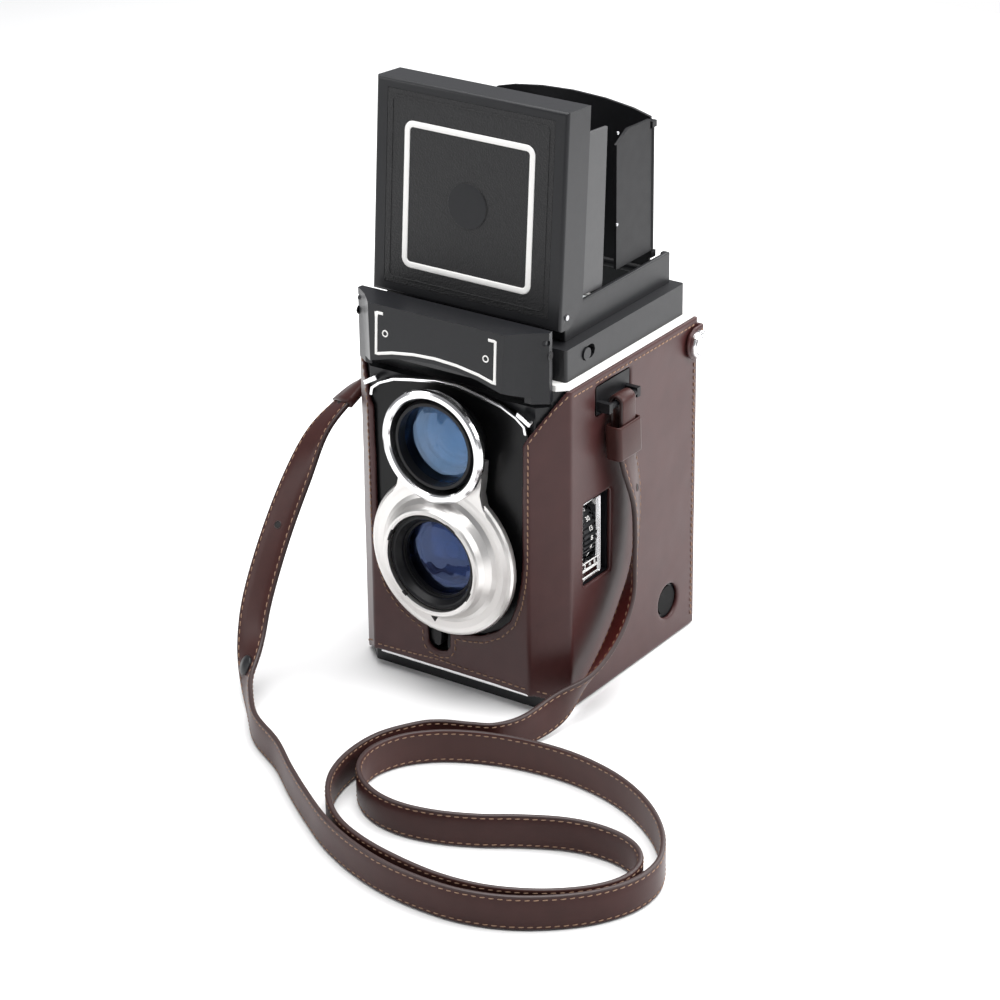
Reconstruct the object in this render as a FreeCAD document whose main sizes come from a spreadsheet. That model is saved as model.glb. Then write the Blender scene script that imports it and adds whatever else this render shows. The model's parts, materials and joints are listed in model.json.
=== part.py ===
import FreeCAD, Part
import itertools
import math
import operator
import os
import Sketcher
from FreeCAD import Placement, Rotation, Vector

# Twin lens reflex camera for instant film, in a leather half case with a strap.
# Frame: +Z up, the lenses face -Y, +X is the right side seen from the front.
# The origin is the centre of the underside of the base plate.

# Driving sizes. "half" is half a width in X; "back", "front" and "face" are distances
# from the origin along +Y or -Y; "low", "high", "top", "axis" and tiers are heights.
SIZES = [
    # leather case
    ("case_half", 46.8), ("case_wall", 1.65), ("case_back", 46.1), ("case_top", 128.4),
    # body, base and front
    ("body_half", 45.1), ("body_back", 44.4), ("body_top", 128.6), ("body_wall", 2.2),
    ("base_high", 6.0), ("bush_rad", 5.5), ("bush_hole", 3.175), ("bush_high", 9.0),
    ("panel_half", 34.6), ("panel_face", 50.2), ("shell_face", 48.35),
    # viewing lens (upper) and taking lens (lower)
    ("view_axis", 103.2), ("take_axis", 57.5), ("view_ring", 22.0), ("view_bore", 18.6),
    ("plate_rad", 31.5), ("take_bore", 19.2), ("view_glass", 15.4), ("take_glass", 14.4),
    # hood
    ("tier_low", 130.9), ("tier_mid", 143.2), ("tier_top", 155.4), ("tier_half", 44.2),
    ("tier_back", 40.15), ("tier_front", 39.9), ("frame_half", 39.2), ("frame_wall", 1.6),
    ("hinge_front", 35.11), ("hinge_high", 153.77), ("lid_half", 41.15), ("lid_skirt", 1.6),
    ("lid_depth", 14.4), ("lid_long", 80.0), ("lid_lean", 4.37), ("lid_plate", 1.8),
    ("leaf_gauge", 1.2), ("rod_rad", 1.0), ("rod_high", 148.5), ("rod_place", 32.3),
    ("screen_half", 35.3), ("screen_gauge", 1.5),
    # flash cover
    ("cover_top", 152.0), ("pivot_front", 47.5), ("pivot_high", 148.2),
    # strap
    ("strap_wide", 13.0), ("strap_gauge", 2.0),
    # film, batteries and back door
    ("pack_half", 31.0), ("pack_gauge", 19.5), ("pack_high", 92.0),
    ("roller_rad", 3.0), ("roller_half", 27.0), ("cell_rad", 5.2), ("cell_long", 44.5),
    ("door_half", 40.8), ("door_gauge", 2.0),
    # controls
    ("wheel_rad", 14.0), ("wheel_gauge", 8.0), ("knob_rad", 8.0), ("knob_long", 3.2),
    ("pinion_rad", 4.0), ("button_rad", 5.8), ("snap_rad", 5.25),
]

doc = FreeCAD.newDocument("TwinLensCamera")
sheet = doc.addObject("Spreadsheet::Sheet", "Dims")
for row, (name, value) in enumerate(SIZES, start=1):
    sheet.set("A%d" % row, name)
    sheet.set("B%d" % row, str(value))
    sheet.setAlias("B%d" % row, name)
doc.recompute()


# ---------------------------------------------------------------- sizes that drive
def combine(operation, sign, left, right):
    left, right = Size.of(left), Size.of(right)
    return Size(operation(left.value, right.value),
                "(%s %s %s)" % (left.expression, sign, right.expression))


class Size:
    """A number together with the spreadsheet expression that gives it."""

    def __init__(self, value, expression):
        self.value = float(value)
        self.expression = expression

    @staticmethod
    def of(x):
        return x if isinstance(x, Size) else Size(x, repr(float(x)))

    def __add__(self, other):
        return combine(operator.add, "+", self, other)

    def __radd__(self, other):
        return combine(operator.add, "+", other, self)

    def __sub__(self, other):
        return combine(operator.sub, "-", self, other)

    def __rsub__(self, other):
        return combine(operator.sub, "-", other, self)

    def __mul__(self, other):
        return combine(operator.mul, "*", self, other)

    def __truediv__(self, other):
        return combine(operator.truediv, "/", self, other)

    def __neg__(self):
        return Size(-self.value, "(-%s)" % self.expression)


class Sizes:
    """The driving sizes, one attribute for each alias."""


dim = Sizes()
for name, value in SIZES:
    setattr(dim, name, Size(value, "Dims." + name))


def num(x):
    return x.value if isinstance(x, Size) else float(x)


def bind(obj, prop, x):
    """Drive a property by its expression, if the value has one."""
    if isinstance(x, Size):
        obj.setExpression(prop, x.expression)


# ---------------------------------------------------------------- outlines
# An outline is a list of corners; a circle is a tuple of centre u, centre v and radius.
def circle(u, v, radius):
    return (u, v, radius)


def rect(u0, u1, v0, v1):
    return [(u0, v0), (u1, v0), (u1, v1), (u0, v1)]


def mirrored(right):
    """The right half of an outline followed by its mirror image in u = 0."""
    return right + [(-u, v) for u, v in reversed(right) if num(u) != 0]


def band(outer, inner):
    """The open band between two mirrored lines, each given by its right half."""
    return mirrored(outer) + mirrored(inner)[::-1]


def body_plan(half, back, bevel_y, face_y, face_x):
    """A rectangle in plan with its two front corners bevelled."""
    return mirrored([(half, back), (half, bevel_y), (face_x, face_y)])


def span(side, low, high):
    """An interval as it is for side 1, and mirrored in zero for side -1."""
    return (low, high) if side > 0 else (-high, -low)


# ---------------------------------------------------------------- features
PARTS = []
counter = itertools.count(1)


def unique(stem):
    return "%s%03d" % (stem, next(counter))


def sub_part(obj, label):
    obj.Label = label
    PARTS.append(obj)
    return obj


def body(label):
    part = doc.addObject("PartDesign::Body", unique("Body"))
    part.AllowCompound = True
    return sub_part(part, label)


def pin_point(sk, edge, end, u, v):
    """Place a sketch point at (u, v) with driving dimensions."""
    for kind, place, axis in (("DistanceX", u, -2), ("DistanceY", v, -1)):
        distance = num(place)
        if abs(distance) < 1e-9:
            sk.addConstraint(Sketcher.Constraint("PointOnObject", edge, end, axis))
        elif distance > 0:
            index = sk.addConstraint(Sketcher.Constraint(kind, -1, 1, edge, end, distance))
            bind(sk, "Constraints[%d]" % index, place)
        else:
            index = sk.addConstraint(Sketcher.Constraint(kind, edge, end, -1, 1, -distance))
            bind(sk, "Constraints[%d]" % index, -place)


def sketch(part, plane, offset, loops, shift=0):
    """Draw loops on a plane moved by offset along its normal and by shift along v.

    XY: u = x, v = y, offset up.  XZ: u = x, v = z, offset towards the front (-Y).
    YZ: u = y, v = z, offset to the right (+X).
    """
    sk = part.newObject("Sketcher::SketchObject", unique("Sketch"))
    base = next(o for o in part.Origin.OriginFeatures if o.Role == plane + "_Plane")
    sk.AttachmentSupport = (base, [""])
    sk.MapMode = "FlatFace"
    sk.AttachmentOffset = Placement(Vector(0, num(shift), num(offset)), Rotation())
    bind(sk, "AttachmentOffset.Base.z", offset)
    bind(sk, "AttachmentOffset.Base.y", shift)
    for loop in loops:
        if isinstance(loop, tuple):
            u, v, radius = loop
            ring = Part.Circle(Vector(num(u), num(v), 0), Vector(0, 0, 1), num(radius))
            edge = sk.addGeometry(ring, False)
            index = sk.addConstraint(Sketcher.Constraint("Radius", edge, num(radius)))
            bind(sk, "Constraints[%d]" % index, radius)
            pin_point(sk, edge, 3, u, v)
            continue
        corners = [Vector(num(u), num(v), 0) for u, v in loop]
        edges = [sk.addGeometry(Part.LineSegment(start, end), False)
                 for start, end in zip(corners, corners[1:] + corners[:1])]
        for edge, after in zip(edges, edges[1:] + edges[:1]):
            sk.addConstraint(Sketcher.Constraint("Coincident", edge, 2, after, 1))
        for edge, (u, v) in zip(edges, loop):
            pin_point(sk, edge, 1, u, v)
    return sk


def extrude(kind, part, plane, low, high, loops):
    profile = sketch(part, plane, low, loops)
    feature = part.newObject("PartDesign::" + kind, unique(kind))
    feature.Profile = profile
    feature.Length = num(high - low)
    bind(feature, "Length", high - low)
    return feature


def pad(part, plane, low, high, *loops):
    extrude("Pad", part, plane, low, high, loops)


def cut(part, plane, low, high, *loops):
    doc.recompute()
    before = part.Shape.Volume
    extrude("Pocket", part, plane, low, high, loops).Reversed = True
    doc.recompute()
    if not part.Shape.Volume < before - 1e-6:
        raise RuntimeError("%s: the pocket at %s removes nothing" % (part.Label, num(low)))


def turn(part, axis_z, profile):
    """Revolve a profile of (y, radius) points about a line along Y at height axis_z."""
    sk = sketch(part, "YZ", 0, [profile], shift=axis_z)
    feature = part.newObject("PartDesign::Revolution", unique("Turn"))
    feature.Profile = sk
    feature.ReferenceAxis = (sk, ["H_Axis"])
    feature.Angle = 360


def fillet(part, radius, chosen):
    """Round every edge of the body whose two end points satisfy the test."""
    doc.recompute()
    tip = part.Tip
    names = []
    for i, edge in enumerate(tip.Shape.Edges, start=1):
        ends = [vertex.Point for vertex in edge.Vertexes]
        if len(ends) == 2 and chosen(*ends):
            names.append("Edge%d" % i)
    if not names:
        raise RuntimeError(part.Label + ": no edge to round")
    feature = part.newObject("PartDesign::Fillet", unique("Round"))
    feature.Base = (tip, names)
    feature.Radius = radius
    doc.recompute()
    failed = "Invalid" in feature.State or "Error" in feature.State
    # a rounding that cannot be built is left off, and the edges stay sharp
    if failed or feature.Shape.isNull() or not feature.Shape.isValid():
        part.removeObject(feature)
        doc.removeObject(feature.Name)
        part.Tip = tip
        doc.recompute()


def upright(abs_x, y_range=(-1000, 1000)):
    """A test for vertical edges within ranges of |x| and y."""
    def chosen(p, q):
        if abs(p.x - q.x) > 1e-6 or abs(p.y - q.y) > 1e-6 or abs(p.z - q.z) < 1e-6:
            return False
        return abs_x[0] <= abs(p.x) <= abs_x[1] and y_range[0] <= p.y <= y_range[1]
    return chosen


def place(obj, x, y, z, rotation=Rotation()):
    obj.Placement = Placement(Vector(num(x), num(y), num(z)), rotation)
    for axis, distance in (("x", x), ("y", y), ("z", z)):
        bind(obj, "Placement.Base." + axis, distance)


def cylinder(radius, length, x, y, z, along="X"):
    """A cylinder starting at (x, y, z) and running along X or Z."""
    obj = doc.addObject("Part::Cylinder", unique("Cyl"))
    obj.Radius, obj.Height = num(radius), num(length)
    bind(obj, "Radius", radius)
    bind(obj, "Height", length)
    place(obj, x, y, z, Rotation(Vector(0, 1, 0), 90) if along == "X" else Rotation())
    return obj


def box(x0, x1, y0, y1, z0, z1):
    obj = doc.addObject("Part::Box", unique("Box"))
    obj.Length, obj.Width, obj.Height = x1 - x0, y1 - y0, z1 - z0
    place(obj, x0, y0, z0)
    return obj


def fuse(label, *shapes):
    obj = doc.addObject("Part::MultiFuse", unique("Fuse"))
    obj.Shapes = list(shapes)
    sub_part(obj, label)


# ---------------------------------------------------------------- shared places
BUTTON = (27.1, 17.2)         # y, z on the right side
FOCUS = (-25.0, 72.0)         # y, z of the focus shaft
DOOR_PIVOT = (43.3, 10.4)     # y, z
WHEEL = (31.2, 64.5)          # x, z of the aperture wheel
LEVER = (-5.2, 19.2)          # x, z of the shutter lever's shaft
SNAP = (43.0, 119.0)          # y, z of the snap caps
LUG_BAR = (50.8, 116.5)       # |x|, z of the bars that hold the strap
LEAF_PIN = (35.0, 31.0)       # |x|, y of the rear leaves' hinge
ROLLER_Y = (22.9, 29.1)       # front and rear film roller
ROLLER_Z = 12.9
HINGE = (-dim.hinge_front, dim.hinge_high)
COVER_PIVOT = (-dim.pivot_front, dim.pivot_high)
LENS_HOLES = (circle(0, dim.view_axis, 16.4), circle(0, dim.take_axis, 20.2))
LEVER_SLOT = rect(-8.0, -2.4, 14.6, 24.5)

# ---------------------------------------------------------------- base and body
# floor of the body, with a round hole for the bush and a slot towards the back
part = body("base_plate")
pad(part, "XY", 0, dim.base_high,
    body_plan(dim.body_half - 0.1, dim.body_back - 0.1, -39.6, -46.2, 38.5))
cut(part, "XY", 0, dim.base_high, circle(0, 0, dim.bush_rad + 0.02))
cut(part, "XY", 0, dim.base_high, rect(-29, 29, 24.5, 27.5))
fillet(part, 1.2, upright((38, 46), (-47, -39)))

# bush with a flange that rests on the base plate
part = body("tripod_bush")
bush_bore = circle(0, 0, dim.bush_hole)
pad(part, "XY", 0, dim.bush_high, circle(0, 0, dim.bush_rad), bush_bore)
pad(part, "XY", dim.base_high + 0.05, dim.base_high + 1.5,
    circle(0, 0, dim.bush_rad + 2.0), bush_bore)

part = body("body_shell")
shell_step = 122.5            # the front of the shell steps back above this height
inner_half = dim.body_half - dim.body_wall
inner_back = dim.body_back - dim.body_wall
pad(part, "XY", dim.base_high + 0.05, shell_step,
    body_plan(dim.body_half, dim.body_back, -39.65, -dim.shell_face, 36.6),
    body_plan(inner_half, inner_back, -38.7, -dim.shell_face + dim.body_wall, 35.7))
pad(part, "XY", 120.3, shell_step, mirrored([(42.95, -38.0), (42.95, -38.75), (35.75, -46.2)]))
pad(part, "XY", shell_step, dim.body_top,
    body_plan(dim.body_half, dim.body_back, -39.6, -43.8, 41.0),
    body_plan(inner_half, inner_back, -38.0, -41.6, 40.0))
cut(part, "XZ", 45.0, 49.0, *LENS_HOLES)
# right side: wheel slot and button hole; left side: focus shaft
cut(part, "YZ", 42.0, 46.0, rect(-32.4, -14.4, 47.6, 80.9),
    circle(*BUTTON, dim.button_rad + 0.1))
cut(part, "YZ", -46.0, -42.0, circle(*FOCUS, 2.55))
# door opening in the back
cut(part, "XZ", -46.0, -41.0, rect(-41, 41, 8.6, 124.0))
cut(part, "XZ", 45.0, 49.0, LEVER_SLOT)
cut(part, "YZ", -42.7, 42.7, circle(*DOOR_PIVOT, 0.61))

# flat panel with an arched top on the front of the shell
part = body("front_panel")
pad(part, "XZ", dim.shell_face + 0.03, dim.panel_face, mirrored([
    (dim.panel_half, 8.0), (dim.panel_half, 111.9), (34.0, 115.7), (30.3, 118.6),
    (23.8, 121.5), (15.2, 123.2), (4.5, 124.9)]))
cut(part, "XZ", dim.shell_face, dim.panel_face + 0.5, *LENS_HOLES)
cut(part, "XZ", dim.shell_face, dim.panel_face + 0.5, LEVER_SLOT)

# arched strip, two slanted corner pieces and a bright line along the foot of the front
part = body("front_trim")
# x, z of the right half, from the foot of the arch to its crown
trim_outer = [(34.75, 112.4), (34.15, 115.8), (30.4, 118.75),
              (23.85, 121.65), (15.25, 123.35), (4.5, 125.05)]
trim_inner = [(33.6, 112.4), (33.1, 115.2), (29.9, 117.75),
              (23.5, 120.55), (15.1, 122.2), (4.4, 123.85)]
trim_corner = [(30.6, 119.6), (36.4, 116.3), (37.1, 117.8), (31.3, 121.2)]
pad(part, "XZ", dim.panel_face + 0.02, dim.panel_face + 1.4, band(trim_outer, trim_inner))
for side in (-1, 1):
    pad(part, "XZ", dim.panel_face + 0.02, dim.panel_face + 2.1,
        [(side * x, z) for x, z in trim_corner])
pad(part, "XZ", dim.shell_face + 0.03, dim.panel_face, mirrored([(33.6, 6.15), (33.2, 7.5)]))

# rim between the body and the hood
part = body("top_trim")
pad(part, "XY", dim.body_top + 0.03, dim.tier_low - 0.03,
    body_plan(dim.body_half + 0.8, dim.body_back + 0.8, -40.4, -43.9, 42.3),
    rect(-37.75, 37.75, -34.0, 37.4))
fillet(part, 1.6, upright((45, 47), (44, 46)))

# ---------------------------------------------------------------- leather case
# wall round the front and sides, open at the back
part = body("leather_case")
case_inner = dim.case_half - dim.case_wall
pad(part, "XY", 0.3, dim.case_top, band(
    [(dim.case_half, dim.case_back), (dim.case_half, -40.5), (35.5, -51.9)],
    [(case_inner, dim.case_back), (case_inner, -39.72), (34.85, -50.3)]))
# the band across the bottom of the back that carries the rear flap
pad(part, "XY", 0.3, 3.4,
    rect(-case_inner - 0.5, case_inner + 0.5, dim.body_back + 0.05, dim.case_back))
# x, z of the front opening: straight sides, then round the lower lens plate,
# with a small notch below it
front_opening = [
    (-60, 140), (-46.8, 131.2), (-33.0, 108.0), (-32.6, 62.0), (-31.9, 54.0), (-30.2, 45.0),
    (-27.0, 36.5), (-21.5, 30.5), (-14.5, 26.6), (-10.2, 25.0), (-10.0, 17.8), (-8.4, 15.8),
    (-5.2, 15.0), (-2.0, 15.8), (-0.4, 17.8), (-0.2, 24.6), (7.0, 25.2), (14.5, 27.0),
    (21.5, 30.9), (27.0, 36.5), (30.2, 45.0), (31.9, 54.0), (32.6, 62.0), (33.0, 108.0),
    (46.8, 131.2), (60, 140)]
cut(part, "XZ", 39.0, 60.0, front_opening)
# lower edge of the front, falling to the floor at its corners
cut(part, "XZ", 39.0, 60.0, mirrored([
    (46.9, -1), (46.9, 0.0), (44.0, 2.6), (38.0, 6.4), (34.0, 7.6), (20.0, 8.0)]))
# right side: wheel, strap lug and button; left side: strap lug and focus shaft
lug_window = rect(-24.3, -1.2, 112.6, 124.5)
cut(part, "YZ", 44.0, 48.0, rect(-32.5, -14.3, 47.5, 81.0), lug_window, circle(*BUTTON, 7.0))
cut(part, "YZ", -48.0, -44.0, lug_window, circle(*FOCUS, 4.0))

# flap over the back, with a tab round each side
part = body("case_flap")
tab_back = dim.case_back + 1.7
tab_low, tab_high = 112.5, 125.5
pad(part, "XZ", *span(-1, dim.body_back + 0.15, dim.case_back + 0.1),
    mirrored([(45.0, 3.6), (45.0, 126.8), (43.5, 128.3)]))
for side in (-1, 1):
    pad(part, "XZ", *span(-1, dim.case_back + 0.05, tab_back),
        rect(side * 36.0, side * 48.6, tab_low, tab_high))
for side in (1, -1):
    pad(part, "YZ", *span(side, dim.case_half + 0.25, dim.case_half + 1.85), [
        (tab_back, tab_low), (tab_back, tab_high), (41.5, tab_high), (38.2, 123.6),
        (36.6, 120.6), (36.6, 117.4), (38.2, 114.4), (41.5, tab_low)])

# stepped cap on each tab
part = body("snap_caps")
cap_base = dim.case_half + 1.9
for side in (-1, 1):
    pad(part, "YZ", *span(side, cap_base, cap_base + 1.1), circle(*SNAP, dim.snap_rad))
    pad(part, "YZ", *span(side, cap_base + 1.1, cap_base + 2.1),
        circle(*SNAP, dim.snap_rad - 1.3))

# ---------------------------------------------------------------- hood
part = body("hood_base")
hood_step = 141.0             # the opening narrows above this height
pad(part, "XY", dim.tier_low, dim.tier_mid,
    rect(-dim.tier_half, dim.tier_half, -dim.tier_front, dim.tier_back))
fillet(part, 1.2, upright((43, 45)))
cut(part, "XY", dim.tier_low, hood_step, rect(-39.9, 39.9, -34.6, 37.4))
cut(part, "XY", hood_step, dim.tier_mid, rect(-37.7, 37.7, -31.8, 35.4))
# the back wall dips into this recess as it folds
cut(part, "XY", dim.tier_low, dim.tier_mid, rect(-36.4, 36.4, 33.0, 39.3))
# y, z of the slider's slot in the right side
cut(part, "YZ", 41.2, 45.0, [
    (-27.6, 135.4), (-23.1, 135.4), (-21.6, 136.3), (-21.0, 138.0), (-21.6, 139.7),
    (-23.1, 140.6), (-27.6, 140.6), (-29.1, 139.7), (-29.7, 138.0), (-29.1, 136.3)])

pad(body("hood_slider"), "YZ", 41.3, 44.8, circle(-26.9, 138.0, 2.3))

part = body("hood_frame")
frame_inner = dim.frame_half - dim.frame_wall
pad(part, "XY", dim.tier_mid + 0.03, dim.tier_top,
    rect(-dim.frame_half, dim.frame_half, -33.0, 37.8))
cut(part, "XY", dim.tier_mid, dim.tier_top + 0.1, rect(-frame_inner, frame_inner, -31.8, 35.4))
# the back is open between its corners, where the back wall passes
cut(part, "XZ", -38.5, -34.5, rect(-36.4, 36.4, 143.0, 156.0))
# hinge eyes at the front
for side in (1, -1):
    wall = span(side, frame_inner, dim.frame_half)
    pad(part, "YZ", *wall, circle(*HINGE, 2.0))
    pad(part, "YZ", *wall, rect(-dim.hinge_front, -32.5, dim.hinge_high - 2.0, dim.tier_top))
cut(part, "YZ", -dim.frame_half - 0.5, dim.frame_half + 0.5, circle(*HINGE, 1.02))

fuse("hood_hinge_pins", cylinder(1.0, 4.0, dim.frame_half - 1.5, *HINGE),
     cylinder(1.0, 4.0, -dim.frame_half - 2.5, *HINGE))

# The lid stands open at the front, leaning back. The lid and what it carries are drawn
# upright and leaned about the hinge line by their placement.
lid_face = dim.hinge_front + 4.03             # front face, upright
lid_inside = lid_face - dim.lid_plate
lid_low = dim.hinge_high - 4.8
BADGE = (0, lid_low + 38.8)                   # x, z
magnifier_rear, magnifier_front = lid_inside - 4.1, lid_inside - 1.6
MAGNIFIER_PIN = (-(magnifier_rear + magnifier_front) / 2, 219.4)     # y, z
MAGNIFIER = (0, 200.0)                        # x, z of the glass
lean_back = Rotation(Vector(1, 0, 0), -dim.lid_lean.value)


def lean(part):
    """Lean a body about the lid's hinge line."""
    centre = Vector(0, num(HINGE[0]), num(HINGE[1]))
    part.Placement = Placement(centre - lean_back.multVec(centre), lean_back)


def on_lid_rim(p, q):
    """The four edges round the front face of the lid."""
    return all(abs(abs(point.x) - num(dim.lid_half)) < 1e-3
               and abs(point.y + num(lid_face)) < 1e-3 for point in (p, q))


part = body("lid_shell")
skirt_inner = dim.lid_half - dim.lid_skirt
pad(part, "XZ", lid_face - dim.lid_depth, lid_face,
    rect(-dim.lid_half, dim.lid_half, lid_low, lid_low + dim.lid_long))
fillet(part, 1.4, on_lid_rim)
cut(part, "XZ", lid_face - dim.lid_depth, lid_inside,
    rect(-skirt_inner, skirt_inner, lid_low - 1, lid_low + dim.lid_long - dim.lid_skirt))
# the lower corners of the side skirts are cut away round the hinge
skirt_clear = dim.lid_depth + 1 - lid_face
for side in (1, -1):
    cut(part, "YZ", *span(side, 38.0, 42.0), [
        (dim.lid_plate + 3.2 - lid_face, lid_low - 1), (skirt_clear, lid_low - 1),
        (skirt_clear, lid_low + 8.5), (9.5 - lid_face, lid_low + 3.0),
        (7.0 - lid_face, lid_low + 0.8)])
cut(part, "YZ", -42.0, 42.0, circle(*HINGE, 1.06))
# recess for the panel
cut(part, "XZ", lid_face - 0.7, lid_face + 0.1, rect(-36.0, 36.0, lid_low + 4.0, lid_low + 76.5))
# block and pin that carry the magnifier
pad(part, "XZ", magnifier_rear, lid_inside + 0.2, rect(-10.8, 10.8, 217.4, 221.4))
pad(part, "YZ", -16.0, 16.0, circle(*MAGNIFIER_PIN, 0.8))
lean(part)

part = body("lid_panel")
pad(part, "XZ", lid_face - 0.68, lid_face - 0.05,
    rect(-35.9, 35.9, lid_low + 4.1, lid_low + 76.4))
cut(part, "XZ", lid_face - 0.25, lid_face, circle(*BADGE, 8.3))
lean(part)

part = body("lid_badge")
pad(part, "XZ", lid_face - 0.24, lid_face + 0.25, circle(*BADGE, 8.2))
lean(part)

# side leaves behind the lid
part = body("hood_front_leaves")
leaf_front = -dim.hinge_front - 2.15
for side in (1, -1):
    pad(part, "YZ", *span(side, 36.15, 36.15 + dim.leaf_gauge), [
        (leaf_front, 159.0), (-dim.hinge_front + 2.6, 157.2), (-6.2, 157.3), (-5.9, 160.0),
        (-7.2, 217.4), (leaf_front, 217.4)])
lean(part)

# square frame hung from the pin by two arms
part = body("magnifier_frame")
pad(part, "XZ", magnifier_rear, magnifier_front,
    rect(-17, 17, 184.0, 217.0), circle(*MAGNIFIER, 12.6))
pad(part, "XZ", magnifier_rear, magnifier_front,
    rect(-17, -11, 216.9, 221.4), rect(11, 17, 216.9, 221.4))
cut(part, "YZ", -18.0, 18.0, circle(*MAGNIFIER_PIN, 0.86))
fillet(part, 2.0, lambda p, q: abs(p.y - q.y) > 1 and p.z < 185 and q.z < 185)
lean(part)

part = body("magnifier_lens")
pad(part, "XZ", magnifier_rear + 0.4, magnifier_front - 0.4, circle(*MAGNIFIER, 12.5))
lean(part)

sub_part(cylinder(dim.rod_rad, 71.6, -35.8, dim.rod_place, dim.rod_high), "hood_foot_rod")

# upright back wall with a barrel on the foot rod and knuckles for the rear leaves
part = body("hood_back_wall")
wall_front = dim.rod_place - dim.leaf_gauge / 2
wall_back = wall_front + dim.leaf_gauge
wall_half = 33.8
pad(part, "XZ", *span(-1, wall_front, wall_back), mirrored([
    (wall_half, 149.7), (wall_half, 208.4), (26, 210.4), (14, 212.0), (0, 212.6)]))
pad(part, "YZ", -wall_half, wall_half, circle(dim.rod_place, dim.rod_high, 1.9))
for low, high in ((154.6, 157.2), (205.0, 207.4)):
    for side in (1, -1):
        pad(part, "XY", low, high, rect(*span(side, 33.4, 36.0), 30.0, wall_back))
cut(part, "YZ", -34.0, 34.0, circle(dim.rod_place, dim.rod_high, 1.05))
for side in (-1, 1):
    for low, high in ((157.2, 160.2), (202.0, 205.0)):
        pad(part, "XY", low, high, circle(side * LEAF_PIN[0], LEAF_PIN[1], 0.5))

# rear leaves: a hinge tube and a flat side leaf reaching forward from it
leaf_low, leaf_high = 157.4, 204.8
for side, label in ((1, "hood_rear_leaf_right"), (-1, "hood_rear_leaf_left")):
    part = body(label)
    tube = (side * LEAF_PIN[0], LEAF_PIN[1])
    pad(part, "XY", leaf_low, leaf_high, circle(*tube, 1.0), circle(*tube, 0.56))
    pad(part, "YZ", *span(side, 34.4, 35.6), [
        (6.4, leaf_low), (30.15, leaf_low), (30.15, leaf_high), (29.0, leaf_high),
        (29.0, 208.6), (14.0, 209.2), (6.4, 205.0)])

screen_plan = rect(-dim.screen_half, dim.screen_half, -31.0, 34.4)
pad(body("focusing_screen"), "XY", 130.0, 130.0 + dim.screen_gauge, screen_plan)

part = body("mirror_box")
pad(part, "XY", 113.0, 129.9, screen_plan,
    rect(-dim.screen_half + 1.3, dim.screen_half - 1.3, -29.7, 33.1))
pad(part, "XY", 127.5, 129.8, rect(-30, 30, 34.3, 37.35))
cut(part, "XZ", 29.0, 32.0, rect(-20, 20, 112.0, 122.5))
# the sloping shelf behind the mirror
pad(part, "YZ", -42.8, 42.8, [(-22.7, 80.85), (11.5, 115.05), (12.9, 113.65), (-21.3, 79.45)])
pad(part, "YZ", -30.0, 30.0, [(10.5, 114.05), (20.9, 124.45), (22.3, 123.05), (11.9, 112.65)])

pad(body("mirror"), "YZ", -30.0, 30.0,
    [(-24.0, 82.2), (20.0, 126.2), (21.2, 125.0), (-22.8, 81.0)])

# ---------------------------------------------------------------- film and drive
part = body("film_frame")
pad(part, "XZ", -19.5, -17.5, rect(-42.8, 42.8, 8.0, 112.0), rect(-23, 23, 26.5, 88.5))
# ears that carry the two film rollers
for side in (1, -1):
    pad(part, "YZ", *span(side, 32.0, 34.0), rect(19.4, 33.0, 6.15, 17.6),
        *[circle(y, ROLLER_Z, 1.26) for y in ROLLER_Y])

# block with a shallow window in its front face
part = body("film_pack")
pack_front = 20.4
pad(part, "XY", 20.0, 20.0 + dim.pack_high,
    rect(-dim.pack_half, dim.pack_half, pack_front, pack_front + dim.pack_gauge))
cut(part, "XZ", -21.4, -20.3, rect(-23.5, 23.5, 26.0, 89.0))

# each roller with its thinner axle
for label, y in zip(("roller_front", "roller_rear"), ROLLER_Y):
    fuse(label, cylinder(dim.roller_rad, dim.roller_half * 2, -dim.roller_half, y, ROLLER_Z),
         cylinder(1.2, 69.0, -34.5, y, ROLLER_Z))

# motor and its shaft
fuse("drive_motor", cylinder(7.0, 26.0, -38.0, 0, 14.5), cylinder(1.0, 8.0, -12.5, 0, 14.5))

# two upright cells on each side
fuse("batteries", *[cylinder(dim.cell_rad, dim.cell_long, side * 37.2, y, 30.0, "Z")
                    for side in (-1, 1) for y in (25.4, 36.2)])

# board along the left side with two components on it
fuse("circuit_board", box(-42.6, -41.2, -20, 15, 24, 74),
     box(-41.25, -37.0, -8, 2, 40, 48), box(-41.25, -39.0, -15, -10, 60, 66))

sub_part(cylinder(5.5, 34.0, -34.0, -30.0, 9.0, "Z"), "flash_capacitor")

# ---------------------------------------------------------------- flash
part = body("flash_base")
pad(part, "XY", dim.tier_low + 0.05, 143.0,
    mirrored([(38.2, -40.1), (38.2, -43.6), (34.0, -46.6), (28.5, -49.4)]))
# housing of the reflector, open to the front
pad(part, "XY", 131.0, 147.4, rect(-24.5, 24.5, -53.4, -49.3))
cut(part, "XZ", 50.2, 54.0, rect(-23.0, 23.0, 132.6, 146.2))
# arms and pins on which the cover turns
arm_high = dim.pivot_high - 0.6
for side in (1, -1):
    arm = span(side, 33.8, 35.4)
    pad(part, "YZ", *arm, circle(*COVER_PIVOT, 1.7))
    pad(part, "YZ", *arm, [
        (-dim.pivot_front - 1.5, arm_high), (-44.2, 141.8), (-41.0, 141.8), (-41.0, 143.0),
        (-43.9, 143.0), (-dim.pivot_front + 1.5, arm_high)])
for side in (1, -1):
    pad(part, "YZ", *span(side, 35.3, 41.2), circle(*COVER_PIVOT, 1.0))

part = body("flash_reflector")
pad(part, "YZ", -22.8, 22.8, [(-53.2, 133.0), (-53.2, 145.8), (-52.6, 145.8),
                              (-50.8, 141.6), (-50.8, 137.2), (-52.6, 133.0)])
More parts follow.
